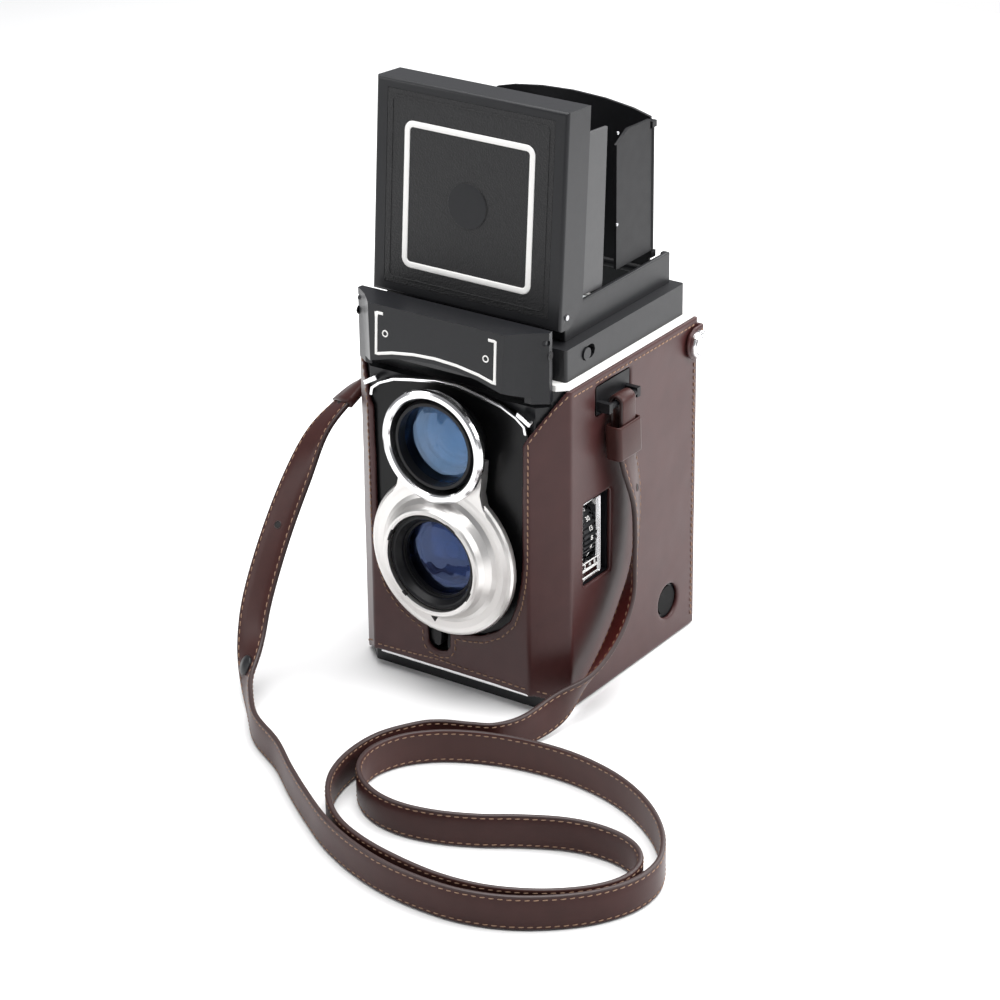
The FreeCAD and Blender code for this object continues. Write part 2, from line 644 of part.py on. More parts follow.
# the trough of the reflector is opened so that the tube lies in it
cut(part, "YZ", -22.9, 22.9, [(-53.3, 133.8), (-53.3, 145.0), (-51.4, 141.3), (-51.4, 137.5)])

sub_part(cylinder(0.6, 40.0, -20.0, -52.75, 139.4), "flash_tube")

pad(body("flash_window"), "XZ", 53.45, 54.7, rect(-24.4, 24.4, 131.2, 147.2))

# hollow cover in front of the flash, open at the back
part = body("flash_cover")
# x, y of the right half of the wall, from the rear corner to the face
cover_outer = [(41.6, -44.9), (41.9, -47.2), (39.2, -49.0), (35.9, -51.4), (32.6, -54.6),
               (30.2, -57.2), (28.6, -58.6)]
cover_inner = [(39.6, -44.9), (39.6, -46.6), (37.8, -47.9), (34.6, -50.0), (31.2, -53.2),
               (29.0, -55.6), (27.4, -56.4)]
# the roof overlaps the wall by 0.1
roof = [(39.7, -44.9)] + [(x + 0.1, y - 0.1) for x, y in cover_inner[1:]]
pad(part, "XY", 124.9, dim.cover_top, band(cover_outer, cover_inner))
pad(part, "XY", dim.cover_top - 1.9, dim.cover_top, mirrored(roof))
# arched lower edge, falling towards the sides
cut(part, "XZ", 50.9, 60.0, mirrored([
    (44, 124.0), (44, 127.2), (36.5, 127.2), (32, 128.6), (28.6, 130.0), (19, 132.6),
    (9.5, 134.1), (0, 134.6)]))
# the face leans back towards its top
cut(part, "YZ", -45.0, 45.0, [(-60.0, 124.0), (-58.6, 130.0), (-57.4, dim.cover_top + 0.5),
                              (-60.0, dim.cover_top + 0.5)])
cut(part, "YZ", -45.0, 45.0, circle(*COVER_PIVOT, 1.06))

# ---------------------------------------------------------------- lens carriage
# the profiles are y, radius about a lens axis
part = body("lens_plate")
turn(part, dim.take_axis, [
    (-53.2, dim.take_bore), (-53.2, 30.9), (-53.8, dim.plate_rad), (-55.6, dim.plate_rad),
    (-56.6, 31.0), (-57.2, 30.0), (-57.5, 28.2), (-57.5, 25.6), (-58.6, 24.0), (-61.0, 22.4),
    (-63.2, 21.4), (-63.9, 20.8), (-64.1, 20.0), (-63.9, dim.take_bore)])
# waisted bridge up to the viewing lens
pad(part, "XZ", 53.2, 57.3,
    mirrored([(22.5, 76.0), (19.0, 82.5), (18.0, 87.0), (18.8, 92.0), (19.5, 100.0)]))
cut(part, "XZ", 52.0, 65.0, circle(0, dim.take_axis, dim.take_bore))
cut(part, "XZ", 52.0, 65.0, circle(0, dim.view_axis, 17.2))
cut(part, "XZ", 57.3, 65.0, circle(0, dim.view_axis, dim.view_ring + 0.1))

turn(body("viewing_ring"), dim.view_axis, [
    (-57.35, 17.25), (-57.35, dim.view_ring - 1.6), (-58.4, dim.view_ring - 0.6),
    (-60.4, dim.view_ring), (-61.6, dim.view_ring - 0.3), (-62.1, dim.view_ring - 1.2),
    (-62.0, dim.view_bore + 0.5), (-61.4, dim.view_bore), (-57.9, 17.6)])

turn(body("viewing_barrel"), dim.view_axis, [
    (-60.6, 16.6), (-60.6, 15.45), (-37.0, 15.45), (-37.0, 14.0), (-36.0, 14.0),
    (-36.0, 16.1), (-57.3, 16.1), (-57.45, 17.15), (-58.2, 17.3)])

turn(body("viewing_lens_front"), dim.view_axis, [
    (-58.4, 0), (-58.3, 4), (-57.9, 8), (-57.2, 12), (-56.4, dim.view_glass),
    (-54.6, dim.view_glass), (-54.4, 12), (-54.2, 6), (-54.2, 0)])

turn(body("taking_ring"), dim.take_axis, [
    (-61.8, 19.1), (-62.4, 17.6), (-62.2, 17.0), (-60.0, 15.6), (-58.4, 15.2),
    (-58.4, 14.5), (-53.3, 14.5), (-53.3, 19.1)])

turn(body("taking_barrel"), dim.take_axis, [
    (-53.15, 19.4), (-53.15, 14.6), (-51.0, 14.6), (-51.0, 16.4), (-38.0, 16.4),
    (-38.0, 12.0), (-37.0, 12.0), (-37.0, 18.0), (-51.6, 18.0), (-51.6, 19.4)])

turn(body("taking_lens_front"), dim.take_axis, [
    (-58.3, 0), (-58.2, 4), (-57.8, 8), (-57.2, 12), (-56.6, dim.take_glass),
    (-54.6, dim.take_glass), (-54.3, 10), (-54.2, 5), (-54.2, 0)])

turn(body("shutter_block"), dim.take_axis,
     [(-49.5, 3.2), (-49.5, 16.3), (-42.0, 16.3), (-42.0, 3.2)])

turn(body("taking_lens_rear"), dim.take_axis, [
    (-41.9, 0), (-41.6, 4), (-40.9, 8), (-40.2, 11.9), (-38.6, 11.9), (-38.3, 5), (-38.3, 0)])

# bar running back, with a foot across its front end
fuse("focus_rack", box(-20.3, -17.6, -36.8, -14.0, 64.8, 67.8),
     box(-20.3, -12.6, -36.8, -34.4, 57.5, 67.8))

# shaft from the left side, with its pinion
part = body("focus_shaft")
pad(part, "YZ", -47.2, -15.0, circle(*FOCUS, 2.5))
pad(part, "YZ", -21.0, -17.0, circle(*FOCUS, dim.pinion_rad))

part = body("focus_knob")
knob_inner = 47.25
knob_outer = knob_inner + dim.knob_long
pad(part, "YZ", *span(-1, knob_inner, knob_outer), circle(*FOCUS, dim.knob_rad))
pad(part, "YZ", *span(-1, knob_outer - 0.05, knob_outer + 0.8),
    circle(*FOCUS, dim.knob_rad - 3.0))

# ---------------------------------------------------------------- controls
part = body("aperture_wheel")
wheel_rear = 21.0
pad(part, "XZ", wheel_rear, wheel_rear + dim.wheel_gauge,
    circle(*WHEEL, dim.wheel_rad), circle(*WHEEL, 2.05))
# notches round the rim: radius and angle of the corners of one notch
NOTCH = ((14.3, -0.035), (14.3, 0.035), (13.2, 0.05), (13.2, -0.05))
NOTCH_COUNT = 40
notches = []
for i in range(NOTCH_COUNT):
    angle = 2 * math.pi * i / NOTCH_COUNT
    notches.append([(WHEEL[0] + radius * math.cos(angle + swing),
                     WHEEL[1] + radius * math.sin(angle + swing)) for radius, swing in NOTCH])
for i in range(0, NOTCH_COUNT, 10):
    cut(part, "XZ", wheel_rear - 0.5, wheel_rear + 0.5 + dim.wheel_gauge, *notches[i:i + 10])

# two plates behind and in front of the wheel, a floor, a low outer wall and the axle
part = body("wheel_frame")
pad(part, "XZ", 18.5, 20.6, rect(26.0, 44.6, 48.2, 79.0))
pad(part, "XZ", 29.4, 31.5, rect(26.0, 44.6, 48.2, 79.0))
pad(part, "XZ", 18.5, 31.5, rect(26.0, 44.6, 48.2, 50.0))
pad(part, "XZ", 18.5, 31.5, rect(42.6, 44.6, 48.2, 55.5))
pad(part, "XZ", 18.6, 31.4, circle(*WHEEL, 2.0))

part = body("side_button")
pad(part, "YZ", 43.2, 45.9, circle(*BUTTON, dim.button_rad))
pad(part, "YZ", 39.5, 43.2, circle(*BUTTON, 2.0))

# shaft and a short upright blade
part = body("shutter_lever")
pad(part, "XZ", 46.5, 52.6, circle(*LEVER, 1.4))
pad(part, "XZ", 50.4, 52.6, [(-6.6, LEVER[1]), (-3.8, LEVER[1]), (-3.4, 23.2), (-4.4, 24.3),
                             (-6.0, 24.3), (-7.0, 23.2)])

# door with its hinge barrel and pin along the foot, and a recess for the latch
part = body("back_door")
door_back = dim.body_back - 0.1
pad(part, "XZ", *span(-1, door_back - dim.door_gauge, door_back),
    rect(-dim.door_half, dim.door_half, 9.4, 123.8))
pad(part, "YZ", -dim.door_half, dim.door_half, circle(*DOOR_PIVOT, 1.0))
pad(part, "YZ", -42.6, 42.6, circle(*DOOR_PIVOT, 0.55))
cut(part, "XZ", *span(-1, door_back - 0.9, door_back + 0.1), rect(-9.2, 9.2, 112.0, 118.2))

pad(body("door_latch"), "XZ", *span(-1, door_back - 0.85, door_back - 0.05),
    rect(-6.0, 6.0, 112.2, 118.0))

# on each side a plate, two posts and the bar between them
part = body("strap_lugs")
for side in (-1, 1):
    pad(part, "YZ", *span(side, dim.body_half + 0.03, dim.body_half + 1.5),
        rect(-23.9, -1.6, 113.0, 124.1))
    post = span(side, dim.body_half + 1.4, dim.body_half + 6.9)
    pad(part, "YZ", *post, rect(-23.4, -21.2, 114.6, 118.4))
    pad(part, "YZ", *post, rect(-4.6, -2.4, 114.6, 118.4))
    pad(part, "XZ", 3.4, 22.4, circle(side * LUG_BAR[0], LUG_BAR[1], 1.2))

# ---------------------------------------------------------------- strap
# a flat strap: it hangs from the two lugs and lies on its edge in a double loop in front
half_wide = num(dim.strap_wide) / 2
half_gauge = num(dim.strap_gauge) / 2
FLOOR = half_wide + 0.35      # centre line height where the strap lies on its edge

# down from the right lug: x, y, z of the centre line, then x, y, z of the direction
# that the flat face looks in
STRAP_RIGHT = [
    (50.9, -13.0, 106.0, 1, 0, 0), (52.2, -10.5, 92.0, 1, 0.15, 0),
    (53.0, -5.6, 74.0, 1, 0.35, 0), (54.0, -7.2, 51.0, 1, 0.35, 0.1),
    (55.2, -13.4, 36.8, 1, 0.2, 0.2), (55.6, -26.0, 24.5, 1, 0.0, 0.25),
    (54.0, -42.0, 14.2, 1, -0.1, 0.15), (51.0, -58.0, 8.6, 1, -0.2, 0.0),
]
# the double loop at floor height: x, y of the centre line, x, y of the face direction
STRAP_LOOP = [
    (47.6, -73.0, 0.9, -0.45), (42.5, -84.0, 0.62, -0.78), (35.0, -88.3, 0.35, -0.94),
    (24.9, -92.6, 0.5, -0.87), (15.0, -101.0, 0.75, -0.66), (8.0, -115.0, 0.97, -0.25),
    (6.9, -131.0, 1, 0.1), (10.8, -147.0, 0.93, 0.37), (19.6, -160.5, 0.78, 0.62),
    (32.0, -171.0, 0.56, 0.83), (47.0, -177.4, 0.33, 0.94), (64.0, -181.0, 0.12, 0.99),
    (82.0, -182.4, -0.05, 1), (99.0, -180.0, -0.28, 0.96), (115.0, -172.8, -0.5, 0.86),
    (127.5, -162.5, -0.72, 0.7), (134.2, -151.5, -0.93, 0.37), (134.6, -141.0, -0.98, -0.2),
    (129.6, -132.6, -0.66, -0.75), (120.5, -127.6, -0.3, -0.95), (109.0, -126.4, 0.07, -1),
    (97.0, -128.8, 0.3, -0.95), (84.0, -135.2, 0.48, -0.88), (71.0, -143.2, 0.45, -0.89),
    (58.0, -148.8, 0.3, -0.95), (45.0, -151.4, 0.03, -1), (33.0, -150.0, -0.35, -0.93),
    (22.4, -144.6, -0.68, -0.73), (14.6, -135.6, -0.9, -0.4), (12.0, -124.0, -1, 0.1),
    (15.6, -112.0, -0.88, 0.47), (23.6, -102.8, -0.66, 0.75), (34.0, -96.4, -0.46, 0.89),
    (46.0, -92.0, -0.24, 0.97), (59.0, -89.6, -0.09, 1), (73.0, -89.0, 0.04, 1),
    (87.0, -91.0, 0.24, 0.97), (100.0, -95.2, 0.42, 0.9), (113.0, -102.4, 0.58, 0.82),
    (124.5, -112.0, 0.73, 0.68), (133.2, -123.0, 0.87, 0.5), (138.6, -135.4, 0.99, 0.1),
    (138.4, -148.6, 0.94, -0.34), (132.6, -161.4, 0.8, -0.6), (122.6, -172.4, 0.66, -0.76),
    (109.4, -181.4, 0.46, -0.89), (94.0, -186.6, 0.16, -0.99), (77.6, -187.6, -0.06, -1),
    (61.0, -185.8, -0.2, -0.98), (44.0, -180.8, -0.36, -0.93), (28.0, -173.4, -0.48, -0.88),
    (12.0, -163.0, -0.57, -0.82), (-4.0, -151.4, -0.6, -0.8), (-20.0, -138.8, -0.64, -0.77),
    (-35.0, -125.6, -0.7, -0.72),
]
# up to the left lug, with the columns of the right side
STRAP_LEFT = [
    (-48.0, -112.4, FLOOR + 0.5, -0.8, -0.6, 0.05), (-58.0, -100.6, 10.4, -0.9, -0.4, 0.1),
    (-64.0, -90.6, 20.6, -0.97, -0.2, 0.1), (-66.4, -82.6, 34.0, -1, -0.05, 0.08),
    (-66.4, -71.0, 53.8, -1, 0, 0.05), (-64.6, -58.6, 74.0, -1, 0, 0),
    (-62.0, -46.8, 90.6, -1, 0.05, 0), (-58.0, -34.0, 103.0, -1, 0.2, 0.1),
    (-55.4, -27.4, 107.0, -1, 0.15, 0.1),
]
STRAP_KEYS = (STRAP_RIGHT + [(x, y, FLOOR, face_x, face_y, 0)
                             for x, y, face_x, face_y in STRAP_LOOP] + STRAP_LEFT)


def spline(keys, step):
    """Points at least a step apart on a Catmull-Rom curve through the keys."""
    fine = []
    last = len(keys) - 1
    for i in range(last):
        stations = (keys[max(i - 1, 0)], keys[i], keys[i + 1], keys[min(i + 2, last)])
        for k in range(12):
            t = k / 12.0
            fine.append([0.5 * (2 * k1 + (k2 - k0) * t
                                + (2 * k0 - 5 * k1 + 4 * k2 - k3) * t * t
                                + (3 * k1 - k0 - 3 * k2 + k3) * t ** 3)
                         for k0, k1, k2, k3 in zip(*stations)])
    fine.append(list(keys[-1]))
    kept, run = [fine[0]], 0.0
    for before, after in zip(fine, fine[1:]):
        run += math.dist(before[:3], after[:3])
        if run >= step:
            kept.append(after)
            run = 0.0
    # the curve ends on the last key, without a very short last step
    if math.dist(kept[-1][:3], fine[-1][:3]) > step / 2:
        kept.append(fine[-1])
    else:
        kept[-1] = fine[-1]
    return kept


def strap_run():
    """The strap as a solid of triangles between rectangular sections."""
    points = spline(STRAP_KEYS, 6.0)
    sections = []
    for i, point in enumerate(points):
        before, after = points[max(i - 1, 0)], points[min(i + 1, len(points) - 1)]
        along = (Vector(*after[:3]) - Vector(*before[:3])).normalize()
        wide = along.cross(Vector(*point[3:])).normalize()
        face = wide.cross(along).normalize()
        centre = Vector(*point[:3])
        sections.append([centre + wide * (half_wide * a) + face * (half_gauge * b)
                         for a, b in ((1, 1), (1, -1), (-1, -1), (-1, 1))])
    quads = []
    for near, far in zip(sections, sections[1:]):
        for k in range(4):
            after = (k + 1) % 4
            quads.append((near[k], near[after], far[after], far[k]))
    quads += [sections[0], sections[-1]]
    faces = []
    for a, b, c, d in quads:
        faces.append(Part.Face(Part.makePolygon([a, b, c, a])))
        faces.append(Part.Face(Part.makePolygon([a, c, d, a])))
    solid = Part.makeSolid(Part.makeShell(faces))
    if solid.Volume < 0:
        solid.reverse()
    return solid


def strap_end(side):
    """The folded end of the strap, a block looped over the bar of a lug."""
    bar_x, bar_z = side * LUG_BAR[0], LUG_BAR[1]
    corner = Vector(bar_x - 2.5, -13.0 - half_wide, 108.8)
    end = Part.makeBox(5.0, 2 * half_wide, 10.2, corner)
    return end.cut(Part.makeCylinder(1.35, 20.0, Vector(bar_x, -22.0, bar_z), Vector(0, 1, 0)))


strap = doc.addObject("Part::Feature", "Strap")
strap.Shape = Part.makeCompound([strap_run(), strap_end(1), strap_end(-1)])
sub_part(strap, "strap")

doc.recompute()

# ---------------------------------------------------------------- check and write
bad = []
for obj in doc.Objects:
    if "Invalid" in obj.State or "Error" in obj.State:
        bad.append("%s (%s): %s" % (obj.Name, obj.Label, obj.State))
for obj in PARTS:
    if obj.Shape.isNull() or not obj.Shape.isValid() or not obj.Shape.Solids:
        bad.append("%s has no valid solid" % obj.Label)
if bad:
    raise RuntimeError("; ".join(bad))
os.makedirs("parts", exist_ok=True)
for obj in PARTS:
    obj.Shape.exportStep("parts/%s.step" % obj.Label)
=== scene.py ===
"""Looks of a twin lens reflex camera in a stitched leather case, with its strap.

The camera stands on the floor (z = 0) and its lenses look along -Y. "Right" is +X.
The hard parts are the frame's own meshes, with rounded edges and procedural finishes.
The leather case, its rear flap and the strap are soft pieces, modelled here.
Lengths are in millimetres, turned into metres by mm() or MM, unless a comment says otherwise.
"""

import json
import math
import random

import bmesh
import bpy
import numpy as np
from mathutils import Matrix, Vector, noise

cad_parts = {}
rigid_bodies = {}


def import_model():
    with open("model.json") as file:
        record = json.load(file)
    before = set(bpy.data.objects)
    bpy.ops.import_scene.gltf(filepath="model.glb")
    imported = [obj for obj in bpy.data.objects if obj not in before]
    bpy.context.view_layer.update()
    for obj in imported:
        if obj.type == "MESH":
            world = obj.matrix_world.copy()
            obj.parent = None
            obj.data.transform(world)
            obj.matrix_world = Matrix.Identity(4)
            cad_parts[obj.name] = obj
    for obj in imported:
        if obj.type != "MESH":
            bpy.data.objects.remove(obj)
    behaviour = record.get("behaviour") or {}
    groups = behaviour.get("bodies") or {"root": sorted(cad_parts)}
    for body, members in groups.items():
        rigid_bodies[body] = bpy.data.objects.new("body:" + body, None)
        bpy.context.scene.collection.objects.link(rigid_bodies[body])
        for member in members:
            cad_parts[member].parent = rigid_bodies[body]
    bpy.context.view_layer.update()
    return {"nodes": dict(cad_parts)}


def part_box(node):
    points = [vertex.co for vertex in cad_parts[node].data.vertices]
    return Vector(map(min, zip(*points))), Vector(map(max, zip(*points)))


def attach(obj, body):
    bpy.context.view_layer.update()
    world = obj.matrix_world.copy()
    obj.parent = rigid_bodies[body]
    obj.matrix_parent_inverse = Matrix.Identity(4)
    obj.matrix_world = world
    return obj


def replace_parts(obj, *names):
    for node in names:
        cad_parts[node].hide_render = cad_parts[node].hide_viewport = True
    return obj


for stray in list(bpy.data.objects):
    bpy.data.objects.remove(stray)
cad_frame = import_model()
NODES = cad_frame["nodes"]
random.seed(7)
scene = bpy.context.scene

MM = 0.001
SIDES = (-1, 1)
FRONT = Vector((0, -1, 0))
REAR = Vector((0, 1, 0))
RIGHT = Vector((1, 0, 0))


def mm(*v):
    return Vector([x * MM for x in v])


# the main viewpoint: its place, its right, up and forward directions, and the lens
VIEW_FROM = mm(648.43636501, -957.8434031, 593.53829039)
VIEW_RIGHT = Vector((0.82562513, 0.56413191, -0.00991595))
VIEW_UP = Vector((-0.22935471, 0.35162139, 0.9076116))
VIEW_FORWARD = Vector((-0.51549933, 0.74707268, -0.41969376))
SENSOR_WIDTH = 36.0
FOCAL_LENGTH = 120.55322967

# ---------------------------------------------------------------- finishes
M = {}  # every material, by name


def add_node(tree, kind, values=None):
    node = tree.nodes.new(kind)
    for key, value in (values or {}).items():
        node.inputs[key].default_value = value
    return node


def add_colour_mix(tree, factor, first, second):
    """A mix of two colours; returns its colour output."""
    node = add_node(tree, "ShaderNodeMix")
    node.data_type = "RGBA"
    node.inputs[6].default_value = (*first, 1)
    node.inputs[7].default_value = (*second, 1)
    tree.links.new(factor, node.inputs[0])
    return node.outputs[2]


def finish(name, base, dark=None, rough=0.4, rough_vary=0.08, metal=0.0, spec=0.5, coat=0.0,
           coat_rough=0.15, grain=400.0, vary=0.6, stretch=(1, 1, 1), pattern="noise",
           bump_scale=2500.0, bump=0.25, depth=0.00005):
    """A layered finish: uneven colour, uneven gloss and a fine relief.

    grain and vary are the scale and share of the darker colour; depth is the relief's, in metres.
    """
    material = M[name] = bpy.data.materials.new(name)
    material.use_nodes = True
    tree = material.node_tree
    shader = tree.nodes["Principled BSDF"]
    link = tree.links.new
    dark = dark or tuple(c * 0.72 for c in base)
    coords = add_node(tree, "ShaderNodeTexCoord")
    mapping = add_node(tree, "ShaderNodeMapping", {"Scale": stretch})
    link(coords.outputs["Object"], mapping.inputs["Vector"])
    place = mapping.outputs["Vector"]

    blotches = add_node(tree, "ShaderNodeTexNoise", {"Scale": grain, "Detail": 5.0})
    link(place, blotches.inputs["Vector"])
    share = add_node(tree, "ShaderNodeMath", {1: vary})
    share.operation = "MULTIPLY"
    link(blotches.outputs["Fac"], share.inputs[0])
    link(add_colour_mix(tree, share.outputs[0], base, dark), shader.inputs["Base Color"])

    wear = add_node(tree, "ShaderNodeTexNoise", {"Scale": grain * 0.31, "Detail": 3.0})
    link(place, wear.inputs["Vector"])
    gloss = add_node(tree, "ShaderNodeMapRange",
                     {"To Min": max(rough - rough_vary, 0.02), "To Max": rough + rough_vary})
    link(wear.outputs["Fac"], gloss.inputs["Value"])
    link(gloss.outputs["Result"], shader.inputs["Roughness"])

    if bump > 0:
        if pattern == "cells":
            relief = add_node(tree, "ShaderNodeTexVoronoi", {"Scale": bump_scale})
            height = relief.outputs["Distance"]
        else:
            relief = add_node(tree, "ShaderNodeTexNoise", {"Scale": bump_scale, "Detail": 3.0})
            height = relief.outputs["Fac"]
        link(place, relief.inputs["Vector"])
        bumps = add_node(tree, "ShaderNodeBump", {"Strength": bump, "Distance": depth})
        link(height, bumps.inputs["Height"])
        link(bumps.outputs["Normal"], shader.inputs["Normal"])
    shader.inputs["Metallic"].default_value = metal
    shader.inputs["Specular IOR Level"].default_value = spec
    shader.inputs["Coat Weight"].default_value = coat
    shader.inputs["Coat Roughness"].default_value = coat_rough


def glass(name, tint, mirror_tint, share, rough=0.02):
    """Coated glass: mostly see-through; its coloured reflection grows towards grazing angles."""
    material = M[name] = bpy.data.materials.new(name)
    material.use_nodes = True
    tree = material.node_tree
    link = tree.links.new
    for node in list(tree.nodes):
        tree.nodes.remove(node)
    output = add_node(tree, "ShaderNodeOutputMaterial")
    through = add_node(tree, "ShaderNodeBsdfTransparent", {"Color": (*tint, 1)})
    reflection = add_node(tree, "ShaderNodeBsdfGlossy", {"Roughness": rough})
    coords = add_node(tree, "ShaderNodeTexCoord")
    clouds = add_node(tree, "ShaderNodeTexNoise", {"Scale": 90.0})
    link(coords.outputs["Object"], clouds.inputs["Vector"])
    red, green, blue = mirror_tint
    bluer = (red * 0.5, green * 0.8, blue)
    link(add_colour_mix(tree, clouds.outputs["Fac"], mirror_tint, bluer),
         reflection.inputs["Color"])
    angle = add_node(tree, "ShaderNodeLayerWeight", {"Blend": 0.35})
    amount = add_node(tree, "ShaderNodeMapRange",
                      {"To Min": share, "To Max": min(share + 0.5, 0.95)})
    link(angle.outputs["Facing"], amount.inputs["Value"])
    mix = add_node(tree, "ShaderNodeMixShader")
    link(amount.outputs["Result"], mix.inputs[0])
    link(through.outputs[0], mix.inputs[1])
    link(reflection.outputs[0], mix.inputs[2])
    link(mix.outputs[0], output.inputs["Surface"])


finish("black_plastic", base=(0.012, 0.0125, 0.0145), dark=(0.007, 0.0072, 0.0085), rough=0.33,
       rough_vary=0.05, bump_scale=5200, bump=0.18, depth=0.00004, grain=900, spec=0.32)
finish("hood_plastic", base=(0.016, 0.0163, 0.018), dark=(0.010, 0.0103, 0.0115), rough=0.36,
       rough_vary=0.05, bump_scale=5200, bump=0.18, depth=0.00004, grain=900, spec=0.31)
finish("black_leatherette", base=(0.014, 0.014, 0.015), dark=(0.006, 0.006, 0.0068), rough=0.52,
       pattern="cells", bump_scale=1500, bump=0.8, depth=0.0002, grain=1400, vary=1.0, spec=0.4)
finish("front_gloss", base=(0.004, 0.004, 0.0045), spec=0.18, rough=0.3, rough_vary=0.05,
       pattern="cells", bump_scale=2600, bump=0.12, depth=0.00003, grain=300)
finish("leather", base=(0.054, 0.0165, 0.0155), dark=(0.030, 0.0085, 0.0085), rough=0.38,
       rough_vary=0.06, pattern="cells", bump_scale=2100, bump=0.22, depth=0.00006, grain=120,
       vary=0.8, spec=0.32, coat=0.03, coat_rough=0.3)
finish("leather_edge", base=(0.03, 0.013, 0.012), rough=0.5, bump_scale=1800, bump=0.4, grain=700)
finish("strap_leather", base=(0.048, 0.0165, 0.0145), dark=(0.026, 0.0085, 0.0075), rough=0.38,
       rough_vary=0.07, pattern="cells", bump_scale=2300, bump=0.25, depth=0.00006, grain=160,
       vary=0.8, spec=0.17, coat=0.03, coat_rough=0.28)
finish("strap_red", base=(0.085, 0.010, 0.008), dark=(0.045, 0.006, 0.005), rough=0.42,
       bump_scale=2600, bump=0.3, depth=0.00006, grain=200)
finish("strap_back", base=(0.052, 0.017, 0.014), dark=(0.028, 0.009, 0.0075), rough=0.5,
       bump_scale=2600, bump=0.35, depth=0.00006, grain=200, spec=0.28)
finish("chrome", base=(0.80, 0.80, 0.81), dark=(0.74, 0.74, 0.75), rough=0.16, rough_vary=0.02,
       metal=1.0, bump_scale=5000, bump=0.06, depth=0.000008, grain=900, vary=0.5)
finish("satin_silver", base=(0.68, 0.665, 0.65), dark=(0.62, 0.605, 0.59), rough=0.38,
       rough_vary=0.02, metal=1.0, bump_scale=6000, bump=0.1, depth=0.00001, grain=900, vary=0.5)
finish("white_line", base=(0.86, 0.85, 0.83), dark=(0.76, 0.75, 0.73), rough=0.38,
       bump_scale=3500, bump=0.12, depth=0.00003, grain=600, vary=0.4)
glass("coated_glass", tint=(0.74, 0.82, 0.90), mirror_tint=(0.28, 0.34, 0.46), share=0.16)
# The lower lens's front glass: a darker copy of coated_glass, its see-through tint and its
# reflection dimmed as painted shade.
glass("coated_glass_shaded", tint=(0.62, 0.66, 0.80), mirror_tint=(0.17, 0.18, 0.28), share=0.12)
glass("inner_glass", tint=(0.62, 0.72, 0.82), mirror_tint=(0.30, 0.44, 0.60), share=0.2)
glass("amber_glass", tint=(0.5, 0.55, 0.6), mirror_tint=(0.55, 0.52, 0.40), share=0.4)
glass("clear_glass", tint=(0.92, 0.93, 0.93), mirror_tint=(0.95, 0.95, 0.95), share=0.10,
      rough=0.08)
finish("ground_glass", base=(0.42, 0.44, 0.44), dark=(0.34, 0.36, 0.36), rough=0.55,
       bump_scale=6000, bump=0.3, grain=1500)
finish("mirror", base=(0.88, 0.89, 0.9), dark=(0.8, 0.81, 0.83), rough=0.05, rough_vary=0.02,
       metal=1.0, bump=0.0, grain=60, vary=0.3)
finish("leaf_grey", base=(0.042, 0.042, 0.044), dark=(0.032, 0.032, 0.034), rough=0.42,
       rough_vary=0.05, bump_scale=3800, bump=0.2, depth=0.00004, grain=700)
# The flash window: near-black and opaque, as painted shade for the shadow under the flash cover.
finish("window_painted_shade", base=(0.012, 0.012, 0.014), dark=(0.008, 0.008, 0.01), rough=0.22,
       bump_scale=3000, bump=0.05, grain=500)
finish("brass", base=(0.62, 0.44, 0.18), rough=0.3, metal=1.0, bump_scale=1800, bump=0.1,
       grain=300)
finish("steel", base=(0.52, 0.52, 0.54), rough=0.3, metal=1.0, bump_scale=1200, bump=0.15,
       grain=400, stretch=(0.15, 1, 1))
finish("dark_metal", base=(0.008, 0.008, 0.0092), dark=(0.005, 0.005, 0.006), rough=0.42,
       rough_vary=0.07, spec=0.22, bump_scale=3800, bump=0.2, depth=0.00004, grain=700)
finish("film_plastic", base=(0.02, 0.02, 0.022), rough=0.55, bump_scale=3000, bump=0.3, grain=500)
finish("circuit", base=(0.02, 0.16, 0.06), dark=(0.012, 0.09, 0.035), rough=0.35,
       bump_scale=1500, bump=0.2, grain=500)
finish("foil", base=(0.06, 0.12, 0.42), dark=(0.03, 0.06, 0.24), rough=0.25, bump_scale=900,
       bump=0.1, grain=260)
finish("thread", base=(0.29, 0.175, 0.11), dark=(0.18, 0.105, 0.065), rough=0.75, rough_vary=0.1,
       bump_scale=9000, bump=0.6, depth=0.00006, grain=3500, vary=0.9)
finish("button_black", base=(0.004, 0.004, 0.0042), rough=0.45, spec=0.06, bump_scale=3000,
       bump=0.1, grain=700)
# Near-black for strap holes, screw sockets and lens notches drawn as flat dark pieces: painted
# shade inside them. The lens's index triangle takes it too.
finish("dark_hole", base=(0.004, 0.003, 0.003), rough=0.7, bump_scale=3000, bump=0.2, grain=900)
finish("floor", base=(0.83, 0.83, 0.83), dark=(0.80, 0.80, 0.80), rough=0.5, rough_vary=0.05,
       bump=0.02, bump_scale=200, grain=20, vary=0.5)

